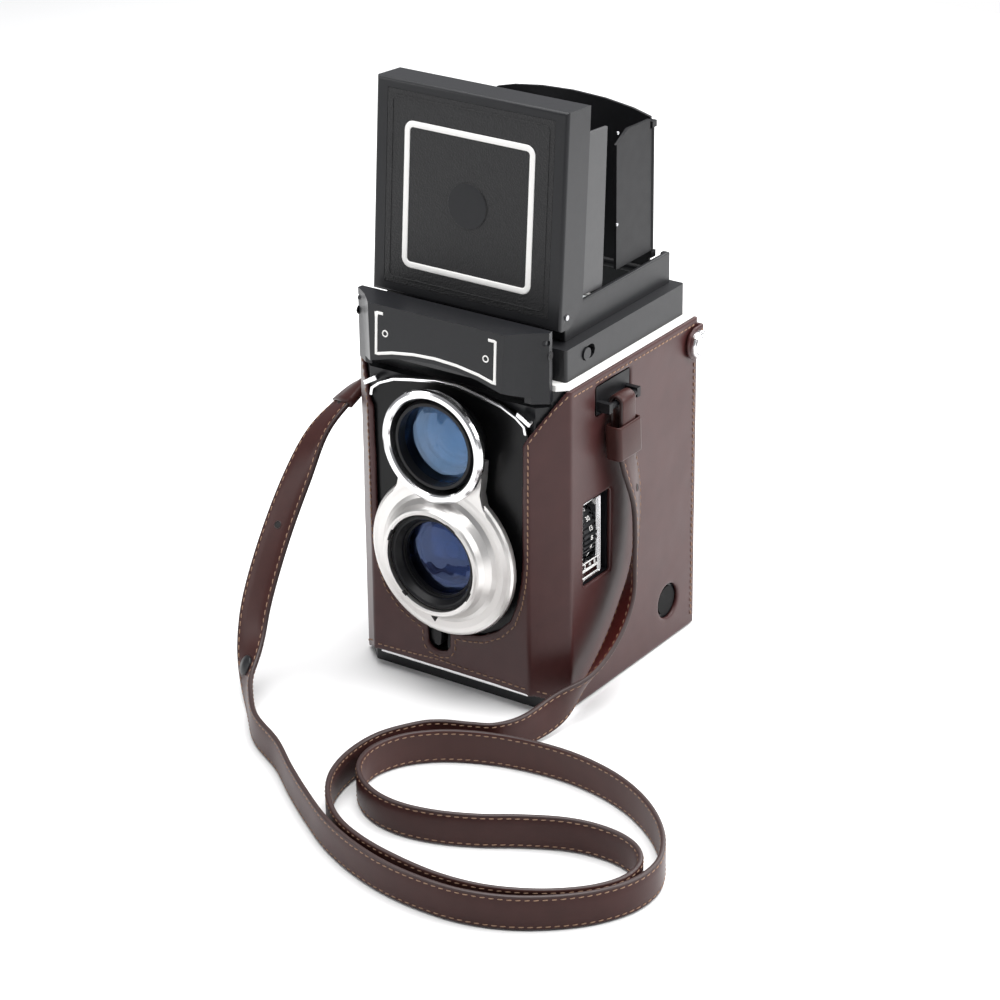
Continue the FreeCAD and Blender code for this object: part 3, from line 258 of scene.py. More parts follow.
# ---------------------------------------------------------------- frame pieces
# the pieces of each finish; a piece that isn't listed is black plastic
PIECES = {
    "brass": "tripod_bush focus_rack",
    "front_gloss": "front_panel",
    "chrome": "front_trim flash_reflector wheel_frame viewing_ring snap_caps",
    "white_line": "top_trim",
    "leather": "leather_case case_flap",
    "hood_plastic": "hood_base hood_frame lid_shell",
    "steel": "hood_hinge_pins drive_motor hood_foot_rod focus_shaft roller_front roller_rear",
    "ground_glass": "focusing_screen",
    "mirror": "mirror",
    "dark_metal": "film_frame strap_lugs hood_back_wall hood_rear_leaf_right hood_rear_leaf_left "
                  "viewing_barrel taking_ring taking_barrel shutter_block shutter_lever",
    "film_plastic": "film_pack",
    "foil": "batteries flash_capacitor",
    "circuit": "circuit_board",
    "clear_glass": "flash_tube magnifier_lens",
    # the flash window is drawn near-black: painted shade
    "window_painted_shade": "flash_window",
    "strap_leather": "strap",
    "black_leatherette": "lid_panel",
    "leaf_grey": "hood_front_leaves",
    "satin_silver": "lens_plate",
    "coated_glass": "viewing_lens_front taking_lens_rear",
    # the lower lens's front takes the darker glass copy: painted shade
    "coated_glass_shaded": "taking_lens_front",
    "button_black": "side_button",
}
# the pieces whose edges are rounded, by the width of the rounding
ROUNDED = {
    0.9: "flash_cover",
    0.6: "base_plate side_button",
    0.55: "hood_base",
    0.5: "lid_shell hood_frame snap_caps focus_knob shutter_lever",
    0.4: "hood_slider magnifier_frame",
    0.35: "body_shell",
    0.3: "front_panel strap_lugs back_door",
    0.28: "front_trim",
    0.25: "top_trim",
    0.2: "wheel_frame door_latch",
    0.15: "hood_front_leaves hood_back_wall hood_rear_leaf_right hood_rear_leaf_left lid_badge",
    0.12: "lid_panel aperture_wheel",
}


def by_piece(groups):
    return {piece: key for key, names in groups.items() for piece in names.split()}


def round_edges(ob, width):
    weld = ob.modifiers.new("join", "WELD")
    weld.merge_threshold = 1e-6
    bevel = ob.modifiers.new("round", "BEVEL")
    bevel.width = width * MM
    bevel.segments = 3
    bevel.limit_method = "ANGLE"
    bevel.angle_limit = math.radians(32)
    bevel.use_clamp_overlap = True
    bevel.harden_normals = False
    normals = ob.modifiers.new("normals", "WEIGHTED_NORMAL")
    normals.keep_sharp = False
    normals.weight = 80


def dress_frame():
    finishes, widths = by_piece(PIECES), by_piece(ROUNDED)
    for name, ob in NODES.items():
        ob.data.materials.clear()
        ob.data.materials.append(M[finishes.get(name, "black_plastic")])
        if name in widths:
            round_edges(ob, widths[name])


dress_frame()


# ---------------------------------------------------------------- building helpers
def skin(rows, count, closed=False, flip=False):
    """Quads between rows of count points each; closed joins the last row to the first."""
    faces = []
    for j in range(rows if closed else rows - 1):
        j2 = (j + 1) % rows
        for i in range(count):
            i2 = (i + 1) % count
            a, b, c, d = j * count + i, j * count + i2, j2 * count + i2, j2 * count + i
            faces.append((a, d, c, b) if flip else (a, b, c, d))
    return faces


def axes_round(axis):
    """The unit axis and two directions square to it."""
    axis = axis.normalized()
    first = axis.orthogonal().normalized()
    return axis, first, axis.cross(first)


def rounded(u0, u1, v0, v1, radius, steps):
    """The outline of a rectangle with rounded corners."""
    out = []
    for cu, cv, start in ((u1 - radius, v1 - radius, 0), (u0 + radius, v1 - radius, 90),
                          (u0 + radius, v0 + radius, 180), (u1 - radius, v0 + radius, 270)):
        for i in range(steps + 1):
            a = math.radians(start + 90 * i / steps)
            out.append((cu + radius * math.cos(a), cv + radius * math.sin(a)))
    return out


def mirrored(half):
    """Half an outline, which ends on the middle line, followed by its mirror image."""
    return half + [(-u, v) for u, v in reversed(half[:-1])]


class Pile:
    """Many small pieces gathered into one mesh. Points are in metres, sizes in millimetres."""

    # share along the stitch, share of its radius, height in radii: both ends are sunk
    STITCH = [(-1.0, 0.0, -0.45), (-0.94, 0.55, -0.3), (-0.7, 0.9, 0.0), (0.0, 1.0, 0.18),
              (0.7, 0.9, 0.0), (0.94, 0.55, -0.3), (1.0, 0.0, -0.45)]
    STITCH_FLATNESS = 0.8
    # across and above the surface, as shares of a band's width and height
    BAND = [(-0.5, -0.3), (-0.5, 0.35), (-0.42, 0.8), (-0.25, 1.0),
            (0.25, 1.0), (0.42, 0.8), (0.5, 0.35), (0.5, -0.3)]

    def __init__(self):
        self.verts, self.faces, self.mats = [], [], []

    def add(self, verts, faces, mat=0):
        """mat is one material index, or a list with one for each face."""
        first = len(self.verts)
        self.verts += verts
        self.faces += [tuple(i + first for i in face) for face in faces]
        self.mats += mat if isinstance(mat, list) else [mat] * len(faces)

    def stitch(self, point, along, out, lean, half, radius, lift):
        """A short rounded thread, slightly askew; lean is the range of its slant."""
        centre = point + out * (lift * MM)
        along = (along + out.cross(along) * random.uniform(*lean)).normalized()
        half = half * MM * random.uniform(0.92, 1.06)
        radius = radius * MM
        side = along.cross(out).normalized()
        up = side.cross(along).normalized()
        count = 6
        verts = []
        for share, width, height in self.STITCH:
            c = centre + along * (half * share) + up * (radius * height)
            for i in range(count):
                a = 2 * math.pi * i / count
                verts.append(c + side * (radius * width * math.cos(a))
                             + up * (radius * self.STITCH_FLATNESS * width * math.sin(a)))
        self.add(verts, skin(len(self.STITCH), count))

    def disc(self, centre, axis, radius, thick, n=28, dome=0.0, mat=0):
        """A round button on a surface, with a rounded rim."""
        axis, a, b = axes_round(axis)
        profile = [(radius, 0.0), (radius, thick * 0.75), (radius * 0.97, thick * 0.93),
                   (radius * 0.9, thick), (radius * 0.5, thick + dome * 0.8),
                   (0.02 * radius, thick + dome)]
        verts = []
        for r, h in profile:
            for i in range(n):
                t = 2 * math.pi * i / n
                verts.append(centre + a * (r * MM * math.cos(t)) + b * (r * MM * math.sin(t))
                             + axis * (h * MM))
        top = tuple((len(profile) - 1) * n + i for i in range(n))
        self.add(verts, skin(len(profile), n) + [top], mat)

    def ring(self, centre, axis, radius, tube, n=48, k=10, mat=0):
        """A torus of n sections with k points each."""
        axis, a, b = axes_round(axis)
        verts = []
        for i in range(n):
            t = 2 * math.pi * i / n
            d = a * math.cos(t) + b * math.sin(t)
            for j in range(k):
                s = 2 * math.pi * j / k
                verts.append(centre + d * ((radius + tube * math.cos(s)) * MM)
                             + axis * (tube * MM * math.sin(s)))
        self.add(verts, skin(n, k, closed=True, flip=True), mat)

    def band(self, path, normal, width, height, closed=False):
        """A raised flat line of rounded section that follows path on a flat surface."""
        normal = normal.normalized()
        n, q = len(path), len(self.BAND)
        verts = []
        for i, p in enumerate(path):
            before = path[(i - 1) % n] if (closed or i > 0) else p
            after = path[(i + 1) % n] if (closed or i < n - 1) else p
            t = (after - before).normalized()
            side = t.cross(normal).normalized()
            arriving = (p - before).normalized() if (p - before).length > 1e-9 else t
            widen = 1.0 / max(abs(arriving.dot(t)), 0.7)  # keeps the width at corners
            for w, h in self.BAND:
                verts.append(p + side * (w * width * MM * widen) + normal * (h * height * MM))
        faces = skin(n, q, closed)
        if not closed:
            faces.append(tuple(range(q)))
            faces.append(tuple((n - 1) * q + j for j in reversed(range(q))))
        self.add(verts, faces)

    def lens_surface(self, y, z, radius, bulge, mat):
        """A shallow dome that looks forwards; a negative bulge makes it hollow."""
        n, rings = 48, 10
        verts = [mm(0, y - bulge, z)]
        for j in range(1, rings + 1):
            r = radius * j / rings
            ring_y = y - bulge * (1 - (r / radius) ** 2)
            for i in range(n):
                a = 2 * math.pi * i / n
                verts.append(mm(r * math.cos(a), ring_y, z + r * math.sin(a)))
        faces = [(0, 1 + (i + 1) % n, 1 + i) for i in range(n)]
        faces += [tuple(1 + i for i in face) for face in skin(rings, n)]
        self.add(verts, faces, mat)

    def block(self, centre, axes, halves):
        """A box with the given axes and half sizes."""
        (ax, ay, az), (hx, hy, hz) = axes, [h * MM for h in halves]
        verts = [centre + ax * (sx * hx) + ay * (sy * hy) + az * (sz * hz)
                 for sx in SIDES for sy in SIDES for sz in SIDES]
        self.add(verts, [(0, 1, 3, 2), (4, 6, 7, 5), (0, 4, 5, 1),
                         (2, 3, 7, 6), (0, 2, 6, 4), (1, 5, 7, 3)])

    def make(self, name, mats, body):
        mesh = bpy.data.meshes.new(name)
        mesh.from_pydata([tuple(v) for v in self.verts], [], self.faces)
        for mat in mats:
            mesh.materials.append(M[mat])
        mesh.polygons.foreach_set("material_index", self.mats)
        mesh.validate()
        mesh.update()
        mesh.polygons.foreach_set("use_smooth", [True] * len(mesh.polygons))
        ob = bpy.data.objects.new(name, mesh)
        scene.collection.objects.link(ob)
        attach(ob, body)
        return ob


# ---------------------------------------------------------------- soft leather: case and rear flap
def soften(node, name, body, voxel, wobble):
    """A leather skin with rounded edges and an uneven surface, in place of a frame piece."""
    mesh = NODES[node].data.copy()
    mesh.name = name
    bm = bmesh.new()
    bm.from_mesh(mesh)
    bmesh.ops.remove_doubles(bm, verts=bm.verts, dist=1e-6)
    bmesh.ops.recalc_face_normals(bm, faces=bm.faces)
    for v in bm.verts:
        v.co *= 1000.0  # the remesh is slow at very small cell sizes, so it works in millimetres
    bm.to_mesh(mesh)
    bm.free()
    ob = bpy.data.objects.new(name, mesh)
    scene.collection.objects.link(ob)
    remesh = ob.modifiers.new("r", "REMESH")
    remesh.mode = "VOXEL"
    remesh.voxel_size = voxel
    remesh.adaptivity = 0.0
    smooth = ob.modifiers.new("s", "SMOOTH")
    smooth.factor = 0.5
    smooth.iterations = 4
    depsgraph = bpy.context.evaluated_depsgraph_get()
    done = bpy.data.meshes.new_from_object(ob.evaluated_get(depsgraph))
    ob.modifiers.clear()
    ob.data = done
    bpy.data.meshes.remove(mesh)
    done.transform(Matrix.Scale(MM, 4))

    count = len(done.vertices)
    places = np.zeros(count * 3, np.float32)
    normals = np.zeros(count * 3, np.float32)
    done.vertices.foreach_get("co", places)
    done.vertices.foreach_get("normal", normals)
    places, normals = places.reshape(-1, 3), normals.reshape(-1, 3)
    broad = wobble * MM
    lift = np.array([broad * noise.noise(Vector(q) * 42.0)
                     + broad * 0.35 * noise.noise(Vector(q) * 160.0) for q in places], np.float32)
    places += normals * lift[:, None]
    done.vertices.foreach_set("co", places.ravel())
    done.materials.clear()
    done.materials.append(M["leather"])
    done.polygons.foreach_set("use_smooth", [True] * len(done.polygons))
    done.update()
    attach(ob, body)
    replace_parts(ob, node)


soften("leather_case", "case_leather", "camera_body", voxel=0.62, wobble=0.11)
soften("case_flap", "flap_leather", "rear_flap", voxel=0.7, wobble=0.1)

# ---------------------------------------------------------------- stitches of the case and flap
CASE_HALF = 46.8  # half the width of the case
CASE_FLAT_HALF = 35.5  # half the width of its flat front, between the slanting corners
CASE_FRONT_Y = -51.9
CORNER_DEPTH = 11.4
# rows on the front of the case, as (x, z)
UPPER_SIDE = [(46.2, 126.9), (42.0, 121.3), (35.6, 109.6), (35.2, 62.0), (34.5, 53.6),
              (32.7, 44.2), (29.3, 34.9)]
RIGHT_ROW = UPPER_SIDE + [(23.1, 28.4), (15.4, 24.2), (8.0, 22.7), (2.4, 22.2)]
LEFT_ROW = [(-12.4, 22.6), (-15.6, 24.0), (-23.1, 28.0)]
LEFT_ROW += [(-x, z) for x, z in reversed(UPPER_SIDE)]
FOOT_ROW = [(-46.4, 3.2), (-44.6, 5.0), (-38.6, 8.9), (-34.2, 10.1), (-20.0, 10.5), (-12.6, 11.0),
            (-5.0, 11.4), (2.6, 11.0), (20.0, 10.5), (34.2, 10.1), (38.6, 8.9), (44.6, 5.0),
            (46.4, 3.2)]
NOTCH_ROW = [(-12.4, 22.6), (-12.5, 16.8), (-10.2, 13.6), (-5.2, 12.4), (-0.2, 13.6), (2.2, 16.8),
             (2.4, 22.2)]
# rows on each side of the case, as pairs of (y, z)
SIDE_ROWS = [((-39.3, 126.0), (-26.5, 126.0)), ((1.0, 126.0), (43.7, 126.0)),
             ((-25.0, 126.2), (0.2, 126.2)), ((43.7, 111.0), (43.7, 4.0))]
# rows on the back of the flap, as pairs of (x, z)
FLAP_Y = 46.2
FLAP_ROWS = [((-42.4, 6.2), (-42.4, 110.5)), ((42.4, 6.2), (42.4, 110.5)),
             ((-42.4, 6.2), (42.4, 6.2)), ((-34.0, 125.8), (34.0, 125.8))]
# the row round each side tab of the flap, as (y, z)
TAB_X = 48.65
TAB_ROW = [(47.2, 114.3), (42.0, 114.3), (39.6, 115.8), (38.3, 118.2), (38.3, 119.8),
           (39.6, 122.2), (42.0, 123.7), (47.2, 123.7)]
SNAP_Y, SNAP_Z = 43.0, 119.0


def case_point(x, z):
    """The leather's outer surface at a front coordinate, and its normal."""
    if abs(x) <= CASE_FLAT_HALF:
        return mm(x, CASE_FRONT_Y, z), FRONT
    s = 1 if x > 0 else -1
    t = min(abs(x), CASE_HALF)
    slope = CORNER_DEPTH / (CASE_HALF - CASE_FLAT_HALF)
    y = CASE_FRONT_Y + (t - CASE_FLAT_HALF) * slope
    return mm(s * t, y, z), Vector((s * 0.71, -0.70, 0))


def stitch_row(pile, points, pitch=2.7, half=0.95, radius=0.27):
    """Stitches along a row of (point, outward normal)."""
    for (a, normal_a), (b, normal_b) in zip(points, points[1:]):
        count = max(int(round((b - a).length / (pitch * MM))), 1)
        along = (b - a).normalized()
        for i in range(count):
            t = (i + 0.5) / count
            pile.stitch(a.lerp(b, t), along, normal_a.lerp(normal_b, t).normalized(),
                        lean=(0.04, 0.16), half=half, radius=radius, lift=0.1)


def case_stitches():
    pile = Pile()
    for row in (RIGHT_ROW, LEFT_ROW, FOOT_ROW, NOTCH_ROW):
        stitch_row(pile, [case_point(x, z) for x, z in row])
    for s in SIDES:
        for row in SIDE_ROWS:
            stitch_row(pile, [(mm(s * CASE_HALF, y, z), RIGHT * s) for y, z in row])
    pile.make("case_stitches", ["thread"], "camera_body")


def flap_stitches():
    pile = Pile()
    for row in FLAP_ROWS:
        stitch_row(pile, [(mm(x, FLAP_Y, z), REAR) for x, z in row])
    for s in SIDES:
        row = [(mm(s * TAB_X, y, z), RIGHT * s) for y, z in TAB_ROW]
        stitch_row(pile, row, pitch=2.3, half=0.8, radius=0.23)
    pile.make("flap_stitches", ["thread"], "rear_flap")


def snap_details():
    """A raised rim and a domed middle on each snap cap."""
    pile = Pile()
    for s in SIDES:
        axis = RIGHT * s
        pile.ring(mm(s * 49.85, SNAP_Y, SNAP_Z), axis, radius=4.6, tube=0.6)
        pile.disc(mm(s * 50.6, SNAP_Y, SNAP_Z), axis, radius=3.3, thick=0.3, dome=0.6)
        pile.ring(mm(s * 50.95, SNAP_Y, SNAP_Z), axis, radius=2.1, tube=0.22)
    pile.make("snap_details", ["chrome"], "rear_flap")


case_stitches()
flap_stitches()
snap_details()

# ---------------------------------------------------------------- strap
# Stations along the strap's middle: x, y, z, then the direction its outer face looks in.
REST_Z = 6.75  # height of the middle where the strap stands on its edge on the floor
RIGHT_STRAND = [
    (50.9, -13.0, 106.0, 1, 0, 0), (52.2, -10.5, 92.0, 1, 0.2, 0),
    (52.8, -6.2, 74.0, 1, 0.45, 0), (53.6, -8.4, 51.0, 0.85, 0.55, -0.05),
    (54.6, -15.0, 36.8, 0.66, 0.62, -0.42), (55.2, -27.0, 24.5, 0.64, 0.48, -0.56),
    (54.2, -42.0, 14.8, 0.75, 0.2, -0.45), (51.0, -58.0, 9.0, 0.95, -0.1, 0.15),
    (47.6, -73.0, REST_Z, 0.9, -0.45, 0), (42.5, -84.0, REST_Z, 0.62, -0.78, 0),
    (35.0, -88.3, REST_Z, 0.35, -0.94, 0), (24.9, -92.6, REST_Z, 0.5, -0.87, 0),
]
# the coil on the floor: x and y before COIL_SHIFT, then the face direction's x and y
COIL_SHIFT = (3.2, 2.2)
COIL = [
    (15.0, -101.0, 0.75, -0.66), (8.0, -115.0, 0.97, -0.25), (6.9, -131.0, 1, 0.1),
    (10.8, -147.0, 0.93, 0.37), (19.6, -160.5, 0.78, 0.62), (32.0, -171.0, 0.56, 0.83),
    (47.0, -177.4, 0.33, 0.94), (64.0, -181.0, 0.12, 0.99), (82.0, -182.4, -0.05, 1),
    (99.0, -180.0, -0.28, 0.96), (115.0, -172.8, -0.5, 0.86), (127.5, -162.5, -0.72, 0.7),
    (134.2, -151.5, -0.93, 0.37), (134.6, -141.0, -0.98, -0.2), (129.6, -132.6, -0.66, -0.75),
    (120.5, -127.6, -0.3, -0.95), (109.0, -126.4, 0.07, -1), (97.0, -128.8, 0.3, -0.95),
    (84.0, -135.2, 0.48, -0.88), (71.0, -143.2, 0.45, -0.89), (58.0, -148.8, 0.3, -0.95),
    (45.0, -151.4, 0.03, -1), (33.0, -150.0, -0.35, -0.93), (22.4, -144.6, -0.68, -0.73),
    (14.6, -135.6, -0.9, -0.4), (12.0, -124.0, -1, 0.1), (15.6, -112.0, -0.88, 0.47),
    (23.6, -102.8, -0.66, 0.75), (34.0, -96.4, -0.46, 0.89), (46.0, -92.0, -0.24, 0.97),
    (59.0, -89.6, -0.09, 1), (73.0, -89.0, 0.04, 1), (87.0, -91.0, 0.24, 0.97),
    (100.0, -95.2, 0.42, 0.9), (113.0, -102.4, 0.58, 0.82), (124.5, -112.0, 0.73, 0.68),
    (133.2, -123.0, 0.87, 0.5), (138.6, -135.4, 0.99, 0.1), (138.4, -148.6, 0.94, -0.34),
    (132.6, -161.4, 0.8, -0.6), (122.6, -172.4, 0.66, -0.76), (109.4, -181.4, 0.46, -0.89),
    (94.0, -186.6, 0.16, -0.99), (77.6, -187.6, -0.06, -1), (61.0, -185.8, -0.2, -0.98),
    (44.0, -180.8, -0.36, -0.93), (28.0, -173.4, -0.48, -0.88), (12.0, -163.0, -0.57, -0.82),
    (-4.0, -151.4, -0.6, -0.8), (-20.0, -138.8, -0.64, -0.77),
]
LEFT_STRAND = [
    (-35.0, -125.6, REST_Z, -0.7, -0.72, 0), (-48.0, -112.4, REST_Z + 0.5, -0.8, -0.6, 0.05),
    (-58.0, -100.6, 10.4, -0.5, -0.8, 0.25), (-64.0, -90.6, 20.6, -0.1, -0.87, 0.45),
    (-66.4, -82.6, 34.0, 0.05, -0.85, 0.5), (-66.4, -71.0, 53.8, 0.05, -0.83, 0.52),
    (-64.6, -58.6, 74.0, -0.05, -0.83, 0.52), (-62.0, -46.8, 90.6, -0.4, -0.75, 0.5),
    (-57.4, -32.0, 101.0, -0.6, -0.62, 0.5), (-53.4, -22.5, 106.6, -0.85, -0.4, 0.35),
    (-51.0, -14.5, 111.5, -1, 0, 0.1),
]
STATIONS = RIGHT_STRAND + [(x + COIL_SHIFT[0], y + COIL_SHIFT[1], REST_Z, face_x, face_y, 0)
                           for x, y, face_x, face_y in COIL] + LEFT_STRAND
SPACING = 1.6  # least distance between two sections of the strap

# Sections as (across, out of the face): the outer face first, then the inner one.
# Each has a list with the material index of every side, into STRAP_MATS.
STRAP_MATS = ["strap_leather", "strap_back", "leather_edge", "strap_red"]
OUTER, INNER, EDGE, RED = range(4)
HALF_WIDE = 6.5
STITCH_LINE = 5.15  # the stitches' distance from the middle
STRAP_SECTION = mirrored([
    (-HALF_WIDE, 0.0), (-HALF_WIDE + 0.06, 0.42), (-HALF_WIDE + 0.28, 0.78),
    (-HALF_WIDE + 0.65, 0.93), (-5.45, 0.92), (-STITCH_LINE, 0.84), (-4.85, 0.93),
    (-2.4, 1.0), (0.0, 1.03)]) + mirrored([
        (HALF_WIDE - 0.06, -0.42), (HALF_WIDE - 0.28, -0.78), (HALF_WIDE - 0.65, -0.93),
        (STITCH_LINE, -0.9), (0.0, -0.97)])
STRAP_SIDES = [EDGE] * 3 + [OUTER] * 10 + [EDGE] * 5 + [INNER] * 6 + [EDGE] * 2
RED_SHARE = 0.12  # the inner face is dark red along this first share of the strap
END_HALF = 4.6
END_SECTION = mirrored([(-END_HALF, 0), (-END_HALF + 0.3, 0.7), (-END_HALF + 0.8, 0.85),
                        (0, 0.92)])
END_SECTION += mirrored([(END_HALF - 0.3, -0.7), (END_HALF - 0.8, -0.85), (0, -0.88)])
END_SIDES = [EDGE] + [OUTER] * 4 + [EDGE] * 2 + [INNER] * 4 + [EDGE]
SLEEVE_SECTION = mirrored([(-7.4, 0), (-7.2, 1.2), (-6.3, 1.85), (0, 2.0)])
SLEEVE_SECTION += mirrored([(7.2, -1.2), (6.3, -1.85), (0, -2.0)])


def spline(keys, step, fine=24):
    """Catmull-Rom curve through the keys, thinned to points at least step apart."""
    out = []
    last = len(keys) - 1
    for i in range(last):
        corners = (keys[max(i - 1, 0)], keys[i], keys[i + 1], keys[min(i + 2, last)])
        for k in range(fine):
            t = k / fine
            out.append([0.5 * (2 * b + (c - a) * t + (2 * a - 5 * b + 4 * c - d) * t * t
                               + (3 * b - a - 3 * c + d) * t ** 3)
                        for a, b, c, d in zip(*corners)])
    out.append(list(keys[-1]))
    kept, run = [out[0]], 0.0
    for before, point in zip(out, out[1:]):
        run += math.dist(before[:3], point[:3])
        if run >= step:
            kept.append(point)
            run = 0.0
    kept.append(out[-1])
    return kept


def frames(points):
    """The place of each point and the directions along, across and out of the strap's face."""
    out = []
    for i, point in enumerate(points):
        before, after = points[max(i - 2, 0)], points[min(i + 2, len(points) - 1)]
        run = Vector([b - a for a, b in zip(before[:3], after[:3])]).normalized()
        wide = run.cross(Vector(point[3:6])).normalized()
        out.append((mm(*point[:3]), run, wide, wide.cross(run).normalized()))
    return out


strap_frames = frames(spline(STATIONS, SPACING))


def sweep(pile, path, section, side_mats):
    """A section carried along a path of frames, closed at both ends."""
    rows, count = len(path), len(section)
    verts = [centre + wide * (w * MM) + face * (h * MM)
             for centre, _, wide, face in path for w, h in section]
    faces = skin(rows, count, flip=True)
    faces.append(tuple(range(count)))
    faces.append(tuple((rows - 1) * count + j for j in reversed(range(count))))
    pile.add(verts, faces, side_mats * (rows - 1) + [side_mats[0]] * 2)


def loop_end(pile, s):
    """The strap's narrower end, folded over the bar of a lug and back down behind."""
    y = -13.0
    heights = (97.0, 100.0, 103.0, 106.0, 109.0, 112.0, 114.5)
    path = [(mm(s * 53.1, y, z), RIGHT * s) for z in heights]  # point, outward direction
    for k in range(1, 12):
        a = math.pi * k / 12
        path.append((mm(s * (50.8 + 2.45 * math.cos(a)), y, 116.5 + 2.45 * math.sin(a)),
                     Vector((s * math.cos(a), 0, math.sin(a)))))
    path += [(mm(s * 48.9, y, z), RIGHT * -s) for z in reversed(heights)]
    out = []
    for i, (point, outward) in enumerate(path):
        before, after = path[max(i - 1, 0)][0], path[min(i + 1, len(path) - 1)][0]
        run = (after - before).normalized()
        wide = Vector((0, 1, 0))
        face = wide.cross(run).normalized()
        if face.dot(outward) < 0:
            face, wide = -face, -wide
        out.append((point, run, wide, face))
    sweep(pile, out, END_SECTION, END_SIDES)


def keeper(pile, s, low, high, lean):
    """A wide leather band round the strap below the lug; its foot is moved by -lean along y."""
    thick = 1.1

    def outline(inset):
        return rounded(47.9 + inset, 54.9 - inset, -21.2 + inset, -5.4 - inset, 1.9 - inset, 6)

    outer, inner = outline(0.0), outline(thick)
    # height, and how far the rounded rim stands in from the outside
    rim = [(low, 0.35), (low + 0.25, 0.1), (low + 0.7, 0.0),
           (high - 0.7, 0.0), (high - 0.25, 0.1), (high, 0.35)]
    rows = [(z, inset / thick) for z, inset in rim]
    rows += [(z, 1 - inset / thick) for z, inset in reversed(rim)]
    verts = []
    for z, t in rows:
        shift = lean * (z - high) / (high - low)
        for (ax, ay), (bx, by) in zip(outer, inner):
            verts.append(mm(s * (ax + (bx - ax) * t), ay + (by - ay) * t + shift, z))
    faces = skin(len(rows), len(outer), closed=True)
    pile.add(verts, faces if s > 0 else [tuple(reversed(face)) for face in faces])


def strap():
    pile = Pile()
    sweep(pile, strap_frames, STRAP_SECTION, STRAP_SIDES)
    for k in range(int(len(strap_frames) * RED_SHARE) * len(STRAP_SECTION)):
        if pile.mats[k] == INNER:
            pile.mats[k] = RED
    loop_end(pile, 1)
    loop_end(pile, -1)
    keeper(pile, 1, low=95.0, high=108.6, lean=-0.9)
    keeper(pile, -1, low=98.0, high=109.6, lean=6.0)
    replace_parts(pile.make("strap_soft", STRAP_MATS, "camera_body"), "strap")


def strap_stitches():
    """Stitches on both faces, near both edges."""
    first, pitch = 1.5, 3.0
    pile = Pile()
    for side in SIDES:
        for facing in (1, -1):
            row = [(centre + wide * (side * STITCH_LINE * MM) + face * (facing * 0.84 * MM),
                    face * facing) for centre, _, wide, face in strap_frames]
            done, wanted = 0.0, first
            for (a, normal_a), (b, normal_b) in zip(row, row[1:]):
                length = (b - a).length * 1000
                while done + length >= wanted:
                    t = (wanted - done) / length
                    pile.stitch(a.lerp(b, t), (b - a).normalized(),
                                normal_a.lerp(normal_b, t).normalized(),
                                lean=(0.03, 0.14), half=0.98, radius=0.25, lift=0.06)
                    wanted += pitch
                done += length
    pile.make("strap_stitches", ["thread"], "camera_body")


# places on the strap; each fitting goes to the nearest section
HOLES = [(52.631, -7.035, 79.741), (-59.181, -37.332, 97.700), (-66.118, -68.134, 58.587)]
STUD = (-60.185, -97.439, 12.810)
SLEEVE_ENDS = [(-54.519, -25.196, 105.054), (-58.974, -36.685, 98.098)]


def nearest_section(place):
    """The index of the strap's section nearest to a place."""
    target = mm(*place)
    return min(range(len(strap_frames)), key=lambda i: (strap_frames[i][0] - target).length)


def strap_fittings():
    """Punched holes, a round stud, and a looser keeper further down the left strand."""
    hole, stud, rim, leather = range(4)
    pile = Pile()
    for place in HOLES:
        centre, _, _, face = strap_frames[nearest_section(place)]
        # each hole is a near-black disc on both faces: painted shade for the hole
        for s in (1, -1):
            pile.disc(centre + face * (s * 0.88 * MM), face * s, radius=1.3, thick=0.16, n=20,
                      mat=hole)
            pile.ring(centre + face * (s * 1.02 * MM), face, radius=1.45, tube=0.16, n=24, k=6,
                      mat=rim)
    centre, _, _, face = strap_frames[nearest_section(STUD)]
    out = face * (0.9 * MM)
    pile.disc(centre + out, face, radius=3.8, thick=1.1, dome=0.8, mat=stud)
    pile.disc(centre - out, -face, radius=3.0, thick=0.5, dome=0.3, mat=stud)
    ends = [nearest_section(place) for place in SLEEVE_ENDS]
    sweep(pile, strap_frames[min(ends):max(ends) + 1], SLEEVE_SECTION,
          [leather] * len(SLEEVE_SECTION))
    pile.make("strap_fittings", ["dark_hole", "black_plastic", "leather_edge", "strap_leather"],
              "camera_body")


strap()
strap_stitches()
strap_fittings()

# ---------------------------------------------------------------- lid: white line and emboss
# The line's corners as the main viewpoint sees them, as (x, z) in the upright plane y = -38:
# upper left, upper right, lower right, lower left. The lid's own face is a little off this plane.
LINE_PLANE_Y = -38.0
LINE_CORNERS = [(-26.014, 217.063), (29.713, 215.717), (28.058, 160.965), (-28.480, 159.129)]
LINE_WIDTH = 2.3
EMBOSS_INSET = 2.3


def lid_plane():
    """The normal and a point of the lid panel's outer face: its largest flat front part."""
    groups = {}
    for face in NODES["lid_panel"].data.polygons:
        if face.normal.y < -0.9:
            key = round(face.center.dot(face.normal) * 1e5)
            group = groups.setdefault(key, [0, face.normal.copy(), face.center.copy()])
            group[0] += face.area
    _, normal, point = max(groups.values(), key=lambda group: group[0])
    return normal.normalized(), point


lid_normal, lid_point = lid_plane()
lid_up = RIGHT.cross(-lid_normal).normalized()
panel_low, panel_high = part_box("lid_panel")
badge_low, badge_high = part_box("lid_badge")
badge = (badge_low + badge_high) / 2
badge = badge - lid_normal * (badge - lid_point).dot(lid_normal)


def on_lid(u, v, out=0.0):
    """A point on the lid's face: u to the right and v up from the badge's centre."""
    return badge + RIGHT * (u * MM) + lid_up * (v * MM) + lid_normal * (out * MM)


